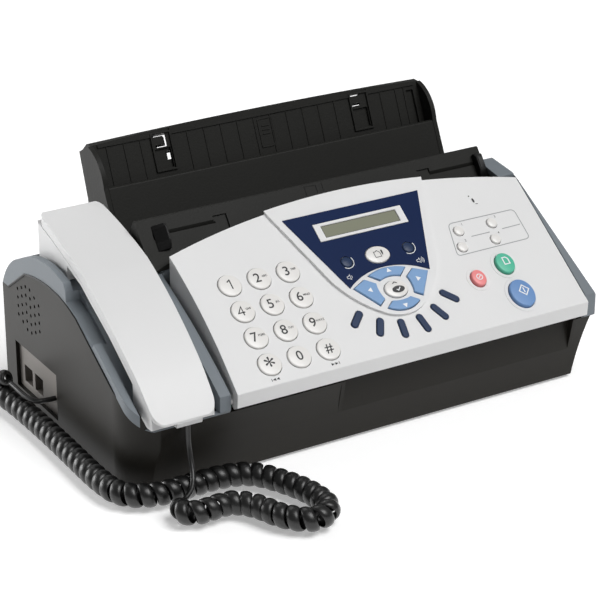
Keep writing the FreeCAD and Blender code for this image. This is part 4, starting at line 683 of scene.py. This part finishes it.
def makeNumberPad():
    look = numberPad
    for i, node in enumerate(look["nodes"]):
        name = "key_" + node
        across, down = look["x"] + look["pitch"] * (i % 3), look["rowPitch"] * (i // 3)
        keyCap(name, "number", across, down, look["radius"], look["radius"], look["rise"], look["dome"])
        letters = look["letters"][i]
        star = node == "star"
        if node in look["drawn"]:
            sign = ribbon(look["drawn"][node], look["stroke"], False)
        else:
            sign = lettering(look["signs"][i], look["signHigh"] * (look["starScale"] if star else 1.0))
        works = [moved(sign, look["signAside"] if letters else 0.0, look["starDrop"] if star else 0.0)]
        if letters:
            works.append(moved(lettering(letters, look["letterHigh"]), *look["letterPlace"]))
        keyMark(name, "darkInkAndShade", works, across, down, look["rise"] + look["dome"])


makeNumberPad()


# keys on and round the navy shield

shield = {"x": 28.5, "fasciaRise": 2.6}
answerKeys = {
    "down": 4.0, "halfX": 8.1, "halfY": 5.8, "rise": 3.2, "dome": 0.4,
    "page": ((-2.6, -2.2), (1.4, -2.2), (1.4, 0.6), (-0.2, 2.3), (-1.6, 1.5), (-2.6, 1.7)), "pageLine": 0.4,
    "pen": ((2.6, -1.6), (3.3, -0.2), (3.3, 2.2), (2.3, 2.2), (2.3, -0.2)),
    "side": 21.7, "sideRadius": 3.6, "sideRise": 3.0, "sideDome": 0.3,
    # crescent: pale arc on the lower-right side round the play and erase keys, a painted highlight on their
    # edge
    "crescent": ellipse(4.5, 4.5, 20, -130, 160), "crescentLine": 0.45,
}
menuKey = {
    "down": 29.0, "halfX": 7.7, "halfY": 6.0, "rise": 3.4, "dome": 0.5,
    "badge": ellipse(4.2, 2.3), "badgePlace": (0.6, -1.2),
    "tick": ((-1.3, 0.1), (-0.4, -0.9), (1.5, 1.1)), "tickLine": 0.6,
    "peak": ((-1.6, 0), (0, 1), (1.6, 0)), "peakLine": 0.5, "peakPlace": (0, 3.0),
}
arrowMark = ((-1.7, -1.2), (1.7, -1.2), (0, 1.6))
arrowEdge = 0.5
arrowKeys = {
    "arrow_up_key": {"across": 0.9, "down": 16.2, "turn": 0},
    "arrow_left_key": {"across": -17.0, "down": 26.2, "turn": 90},
    "arrow_right_key": {"across": 17.0, "down": 26.2, "turn": 270},
    "arrow_down_key": {"across": 0.0, "down": 41.4, "turn": 180},
}
oblongKeys = {"count": 6, "edge": 0.6}


def onFascia():
    return on("panel", shield["x"], 0, shield["fasciaRise"] + keys["lift"])


def makeAnswerKeys():
    look = answerKeys
    x, down, top = shield["x"], look["down"], look["rise"] + look["dome"]
    keyCap("answer_key", "number", x, down, look["halfX"], look["halfY"], look["rise"], look["dome"])
    keyMark("answer_key", "darkInkAndShade", [ribbon(look["page"], look["pageLine"]), filled(look["pen"])], x, down, top)
    radius = look["sideRadius"]
    crescents = []
    for name, side in (("play_key", -1), ("erase_key", 1)):
        aside = side * look["side"]
        keyCap(name, "oblong", x + aside, down, radius, radius, look["sideRise"], look["sideDome"])
        crescents.append(moved(ribbon(look["crescent"], look["crescentLine"], False), aside, -down))
    # pale arcs beside the play and erase keys: painted highlights, not print
    printed("answer_painted_highlights", "panel", "paleInkAndHighlight", crescents, onFascia())


def makeMenuKeys():
    look = menuKey
    x, down, top = shield["x"], look["down"], look["rise"] + look["dome"]
    keyCap("menu_key", "number", x, down, look["halfX"], look["halfY"], look["rise"], look["dome"])
    marks = [moved(filled(look["badge"]), *look["badgePlace"]),
             moved(ribbon(look["peak"], look["peakLine"], False), *look["peakPlace"])]
    keyMark("menu_key", "darkInkAndShade", marks, x, down, top)
    tick = moved(ribbon(look["tick"], look["tickLine"], False), *look["badgePlace"])
    printed("menu_key_tick", "menu_key", "paleInkAndHighlight", [tick], on("panel", x, down, top + keys["lift"] * 2))
    for name, spot in arrowKeys.items():
        softShell(name, "arrow", arrowEdge)
        matrix = on("panel", x + spot["across"], spot["down"], look["rise"] + keys["lift"], spot["turn"])
        printed(name + "_mark", name, "paleInkAndHighlight", [filled(arrowMark)], matrix)


# start, copy and stop keys in pale rings, and the one-touch keys with their numbers

actionKeys = {
    # each mark is a line, its width and whether it closes
    "start_key": {
        "finish": "start", "x": 107.7, "down": 52.0, "halfX": 8.0, "halfY": 9.6, "markPlace": (1.2, 1.2),
        "marks": ((((0, -3.6), (3.4, 0), (0, 3.6), (-3.4, 0)), 0.75, True),
                  (((0, -1.8), (0, 1.8)), 0.75, False)),
    },
    "copy_key": {
        "finish": "copy", "x": 107.4, "down": 29.6, "halfX": 6.1, "halfY": 7.2, "markPlace": (0.6, 1.0),
        "marks": ((((-1.8, -2.4), (1.8, -2.4), (1.8, 1.1), (0.6, 2.4), (-1.8, 2.4)), 0.75, True),),
    },
    "stop_key": {
        "finish": "stop", "x": 85.1, "down": 34.9, "halfX": 4.7, "halfY": 5.6, "markPlace": (0, 0),
        "marks": ((ellipse(1.9, 1.9, 24), 0.55, True), (((-1.1, -0.9), (1.1, 0.9)), 0.5, False)),
    },
}
actionForm = {"rise": 2.4, "dome": 0.35, "ringOut": 1.7, "ringWide": 2.0, "ringHigh": 0.3, "ringLow": -0.02,
              "ringSteps": 64, "ringEdge": 0.25}
touchKeys = {"count": 4, "x": 90.0, "pitch": 24.5, "shift": -3.4, "rowPitch": 11.4, "radius": 3.4,
             "rise": 1.3, "dome": 0.3, "signHigh": 2.2, "signPlace": (4.6, 4.0)}


def makeActionKeys():
    form = actionForm
    for name, look in actionKeys.items():
        x, down, halfX, halfY = look["x"], look["down"], look["halfX"], look["halfY"]
        keyCap(name, look["finish"], x, down, halfX, halfY, form["rise"], form["dome"])
        marks = [moved(ribbon(*mark), *look["markPlace"]) for mark in look["marks"]]
        keyMark(name, "paleInkAndHighlight", marks, x, down, form["rise"] + form["dome"])
        around = ellipse(halfX + form["ringOut"], halfY + form["ringOut"], form["ringSteps"])
        halo = raised(ribbon(around, form["ringWide"]), form["ringHigh"])
        ring = printed(name + "_ring", "panel", "pale", [halo], on("panel", x, down, form["ringLow"]))
        edgeRounding(ring, form["ringEdge"], segments=2)


def makeTouchKeys():
    look = touchKeys
    radius = look["radius"]
    signAcross, signUp = look["signPlace"]
    signs = []
    for i in range(look["count"]):
        row, column = i % 2, i // 2
        across = look["x"] + look["pitch"] * column + look["shift"] * row
        down = look["rowPitch"] * row
        keyCap("touch_key_%d" % (i + 1), "number", across, down, radius, radius, look["rise"], look["dome"])
        sign = lettering("%d" % (i + 1), look["signHigh"])
        signs.append(moved(sign, across + signAcross, signUp - down))
    printed("touch_signs", "panel", "darkInkAndShade", signs, on("panel", 0, 0, keys["lift"]))


makeAnswerKeys()
makeMenuKeys()
makeActionKeys()
makeTouchKeys()
for i in range(oblongKeys["count"]):
    softShell("oblong_key_%d" % (i + 1), "oblong", oblongKeys["edge"])
print("keys made")


# prints on the panel: outline round the one-touch keys, picture marks, microphone opening, volume marks

panelPrint = {
    "box": ((80.4, -16.5), (134.4, -16.1), (134.4, 6.1), (85.7, 6.5)), "corner": 3.2, "line": 0.55,
    "dividers": (((96.5, -5.6), (110.0, -5.6)), ((119.5, -5.4), (133.0, -5.2))),
    "rewind": (-69.9, -64.9), "forward": (-31.0, -64.9), "arrow": ((-1, -0.9), (1.2, 0), (-1, 0.9)),
    "arrowSteps": (-1.3, 1.1), "bar": ((0, -0.9), (0, 0.9)), "barOut": 2.9, "thin": 0.4,
    "microphone": (110.9, 18.5), "opening": ellipse(0.75, 1.7, 20), "dot": ellipse(0.5, 0.5, 12),
    "dotPlace": (-1.4, 3.6), "dash": ((-0.8, 0), (0.8, -0.3)), "dashPlace": (1.2, -2.6),
}
volumeMarks = {
    "places": ((-24.6, 1), (24.4, 3)), "up": -14.4, "line": 0.3,
    "horn": ((-1.9, -0.7), (-0.9, -0.7), (0.3, -1.7), (0.3, 1.7), (-0.9, 0.7), (-1.9, 0.7)),
    "waveRadius": 1.1, "waveStep": 0.8, "waveAside": 0.3, "waveStart": -50, "waveSweep": 100, "waveSteps": 10,
}


def makePanelPrint():
    look = panelPrint
    outline = [ribbon(roundedLoop(look["box"], look["corner"]), look["line"])]
    outline += [ribbon(pair, look["line"], False) for pair in look["dividers"]]
    printed("touch_outline", "panel", "greyInk", outline, on("panel", 0, 0, keys["lift"]))
    marks = []
    for (across, up), side in ((look["rewind"], -1), (look["forward"], 1)):
        arrow = [(side * x, y) for x, y in look["arrow"]]
        marks += [moved(filled(arrow), across + step, up) for step in look["arrowSteps"]]
        marks.append(moved(ribbon(look["bar"], look["thin"], False), across + side * look["barOut"], up))
    across, up = look["microphone"]
    (dotAcross, dotUp), (dashAcross, dashUp) = look["dotPlace"], look["dashPlace"]
    marks.append(moved(filled(look["opening"]), across, up))
    marks.append(moved(filled(look["dot"]), across + dotAcross, up + dotUp))
    marks.append(moved(ribbon(look["dash"], look["thin"], False), across + dashAcross, up + dashUp))
    printed("panel_marks", "panel", "darkInkAndShade", marks, on("panel", 0, 0, keys["lift"]))


def makeVolumeMarks():
    look = volumeMarks
    speakers = []
    for across, waves in look["places"]:
        speakers.append(moved(ribbon(look["horn"], look["line"]), across, look["up"]))
        for wave in range(waves):
            radius = look["waveRadius"] + wave * look["waveStep"]
            arc = ellipse(radius, radius, look["waveSteps"], look["waveStart"], look["waveSweep"])
            speakers.append(moved(ribbon(arc, look["line"], False), across + look["waveAside"], look["up"]))
    printed("volume_marks", "panel", "paleInkAndHighlight", speakers, onFascia())


makePanelPrint()
makeVolumeMarks()


# display: pale frame, olive glass, and a dark ring round the glass painted as the shade of the sunken window

display = {"down": -19.2, "halfX": 26.4, "halfY": 4.3, "rise": 2.46, "frameEdge": 0.5, "corner": 0.5,
           "shadeLine": 0.9, "shadeLift": 0.02}


def makeDisplay():
    look = display
    halfX, halfY = look["halfX"], look["halfY"]
    softShell("lcd_module", "pale", look["frameEdge"])
    glass = roundedLoop([(-halfX, -halfY), (halfX, -halfY), (halfX, halfY), (-halfX, halfY)], look["corner"])
    matrix = on("panel", shield["x"], look["down"], look["rise"])
    printed("display_glass", "panel", "lcdGlass", [filled(glass)], matrix)
    # dark ribbon laid round the glass: painted shade that the sunken window's walls would cast
    shade = on("panel", shield["x"], look["down"], look["rise"] + look["shadeLift"])
    printed("display_painted_shade", "panel", "darkInkAndShade", [ribbon(glass, look["shadeLine"])], shade)


makeDisplay()
print("panel prints and display made")


# curly cord from the handset's foot to its socket

cord = {
    "route": ((-127, -85.6, 44.5), (-127, -85.6, 37), (-127.4, -88, 27), (-129, -95, 17), (-134, -102.5, 9.5),
              (-143.5, -107, 7.1), (-149, -114.5, 7), (-142, -121.5, 7), (-130, -120.5, 7), (-119, -120, 7),
              (-109, -130, 7), (-103, -149, 7), (-90, -162, 7), (-75, -155, 7), (-75, -134, 7),
              (-83, -113, 7), (-93, -96.5, 7), (-110, -91.5, 7), (-131, -92, 7), (-152, -92, 7),
              (-168, -82, 7), (-170.5, -60, 7), (-170, -30, 7), (-169.6, 0, 7), (-170, 28, 7),
              (-171, 50, 7.2), (-174.5, 63, 9.5), (-174.5, 69.5, 15), (-172.5, 64, 21), (-171, 53, 20.8),
              (-170, 40, 19), (-167, 30.5, 18.2), (-161, 29, 18), (-154.5, 29, 18)),
    "wide": 7.0, "thin": 3.2, "curlRadius": 5.5, "curlPitch": 7.6, "curlStart": 46.0, "curlEnd": 36.0,
    # points below lying are lifted clear of the floor, and the lead above leadLow follows the handset
    "lift": 2.1, "lying": 12.0, "leadLow": 28.0, "ramp": 13.0, "slackTurn": 0.35, "smoothAngle": 60,
    "routeSteps": 24, "stepsPerCurl": 22, "ringPoints": 12, "leastStep": 0.3,
}


def routeLine(points):
    curve = bpy.data.curves.new("route", "CURVE")
    curve.dimensions = "3D"
    curve.resolution_u = cord["routeSteps"]
    spline = curve.splines.new("NURBS")
    spline.points.add(len(points) - 1)
    for point, spot in zip(spline.points, points):
        rise = cord["lift"] if spot[2] < cord["lying"] else 0.0
        point.co = (spot[0] * mm, spot[1] * mm, (spot[2] + rise) * mm, 1.0)
    spline.order_u = 3
    spline.use_endpoint_u = True
    bare = bpy.data.objects.new("route", curve)
    mesh = bpy.data.meshes.new_from_object(bare)
    line = [vertex.co.copy() for vertex in mesh.vertices]
    bpy.data.objects.remove(bare)
    bpy.data.curves.remove(curve)
    bpy.data.meshes.remove(mesh)
    return line


def evenStations(line, step):
    stations, carried = [line[0].copy()], 0.0
    for here, there in zip(line, line[1:]):
        run = (there - here).length
        while carried + run >= step:
            here = here.lerp(there, (step - carried) / run)
            run = (there - here).length
            stations.append(here.copy())
            carried = 0.0
        carried += run
    if (line[-1] - stations[-1]).length > step * cord["leastStep"]:
        stations.append(line[-1].copy())
    return stations


def curls():
    step = cord["curlPitch"] * mm / cord["stepsPerCurl"]
    axis = evenStations(routeLine(cord["route"]), step)
    count = len(axis)
    first, last = cord["curlStart"] * mm, (count - 1) * step - cord["curlEnd"] * mm
    ramp, slack = cord["ramp"] * mm, cord["slackTurn"]
    across, turn = Vector((1, 0, 0)), 0.0
    line, outs, shares = [], [], []
    for i, spot in enumerate(axis):
        tangent = (axis[min(i + 1, count - 1)] - axis[max(i - 1, 0)]).normalized()
        across = (across - tangent * across.dot(tangent)).normalized()
        upright = tangent.cross(across)
        opened = smooth(first, first + ramp, i * step) * (1 - smooth(last - ramp, last, i * step))
        turn += math.tau / cord["stepsPerCurl"] * (slack + (1 - slack) * opened) * (opened > 0)
        out = across * math.cos(turn) + upright * math.sin(turn)
        radius = cord["curlRadius"] * mm * opened
        line.append(spot + out * radius)
        outs.append(out)
        shares.append(opened)
    return line, outs, shares


def coiledCord():
    line, outs, shares = curls()

    def flatCross(i, along):
        out = (outs[i] - along * outs[i].dot(along)).normalized()
        wide = cord["thin"] + (cord["wide"] - cord["thin"]) * shares[i]
        return (out, cord["thin"] / 2 * mm), (along.cross(out), wide / 2 * mm)

    work = swept(line, cord["ringPoints"], flatCross)
    piece = pieceFrom(work, "curly_cord", None, [finishes["cord"]], cord["smoothAngle"])
    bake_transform(piece)
    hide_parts("handset_cord")


coiledCord()


# studio: pale floor, soft lamps and a white surround

studio = {"floor": 6.0, "floorColour": (0.86, 0.86, 0.86, 1.0), "floorGlow": 0.35, "floorShine": 0.8,
          "surround": 0.1, "mirrored": 0.25}
lamps = {
    "keyLamp": {"place": (0.7, -1.8, 3.2), "size": 2.2, "power": 114.0},
    "sideLamp": {"place": (-1.15, 1.5, 0.35), "size": 1.1, "power": 30.0},
    "backLamp": {"place": (0.2, 1.5, 1.6), "size": 1.0, "power": 5.0},
}


def floorFinish():
    material = bpy.data.materials.new("studioFloor")
    material.use_nodes = True
    tree = material.node_tree
    tree.nodes.clear()
    out = tree.nodes.new("ShaderNodeOutputMaterial")
    matt = tree.nodes.new("ShaderNodeBsdfDiffuse")
    matt.inputs["Color"].default_value = studio["floorColour"]
    glow = tree.nodes.new("ShaderNodeEmission")
    path = tree.nodes.new("ShaderNodeLightPath")
    both = tree.nodes.new("ShaderNodeAddShader")
    seen = tree.nodes.new("ShaderNodeMapRange")
    seen.inputs["To Max"].default_value = studio["floorGlow"]
    shine = tree.nodes.new("ShaderNodeMapRange")
    shine.inputs["To Max"].default_value = studio["floorShine"]
    tree.links.new(path.outputs["Is Camera Ray"], seen.inputs["Value"])
    tree.links.new(seen.outputs["Result"], shine.inputs["To Min"])
    tree.links.new(path.outputs["Is Glossy Ray"], shine.inputs["Value"])
    tree.links.new(shine.outputs["Result"], glow.inputs["Strength"])
    tree.links.new(matt.outputs[0], both.inputs[0])
    tree.links.new(glow.outputs[0], both.inputs[1])
    tree.links.new(both.outputs[0], out.inputs["Surface"])
    return material


def makeFloor():
    work = bmesh.new()
    bmesh.ops.create_grid(work, x_segments=1, y_segments=1, size=studio["floor"] / 2)
    mesh = bpy.data.meshes.new("floor")
    work.to_mesh(mesh)
    work.free()
    mesh.materials.append(floorFinish())
    floor = bpy.data.objects.new("floor", mesh)
    bpy.context.scene.collection.objects.link(floor)


def makeLamps():
    for name, look in lamps.items():
        data = bpy.data.lights.new(name, "AREA")
        data.size = look["size"]
        data.energy = look["power"]
        lamp = bpy.data.objects.new(name, data)
        lamp.location = look["place"]
        lamp.rotation_euler = (-Vector(look["place"])).to_track_quat("-Z", "Y").to_euler()
        bpy.context.scene.collection.objects.link(lamp)


def makeSurround():
    world = bpy.data.worlds.new("surround")
    bpy.context.scene.world = world
    world.use_nodes = True
    tree = world.node_tree
    back = tree.nodes["Background"]
    back.inputs["Color"].default_value = (1, 1, 1, 1)
    path = tree.nodes.new("ShaderNodeLightPath")
    seen = tree.nodes.new("ShaderNodeMath")
    seen.operation = "MAXIMUM"
    shine = tree.nodes.new("ShaderNodeMapRange")
    shine.inputs["To Min"].default_value = studio["surround"]
    shine.inputs["To Max"].default_value = studio["mirrored"]
    level = tree.nodes.new("ShaderNodeMapRange")
    level.inputs["To Max"].default_value = 1.0
    tree.links.new(path.outputs["Is Camera Ray"], seen.inputs[0])
    tree.links.new(path.outputs["Is Transmission Ray"], seen.inputs[1])
    tree.links.new(path.outputs["Is Glossy Ray"], shine.inputs["Value"])
    tree.links.new(seen.outputs[0], level.inputs["Value"])
    tree.links.new(shine.outputs["Result"], level.inputs["To Min"])
    tree.links.new(level.outputs["Result"], back.inputs["Strength"])


makeFloor()
makeLamps()
makeSurround()
print("studio made")
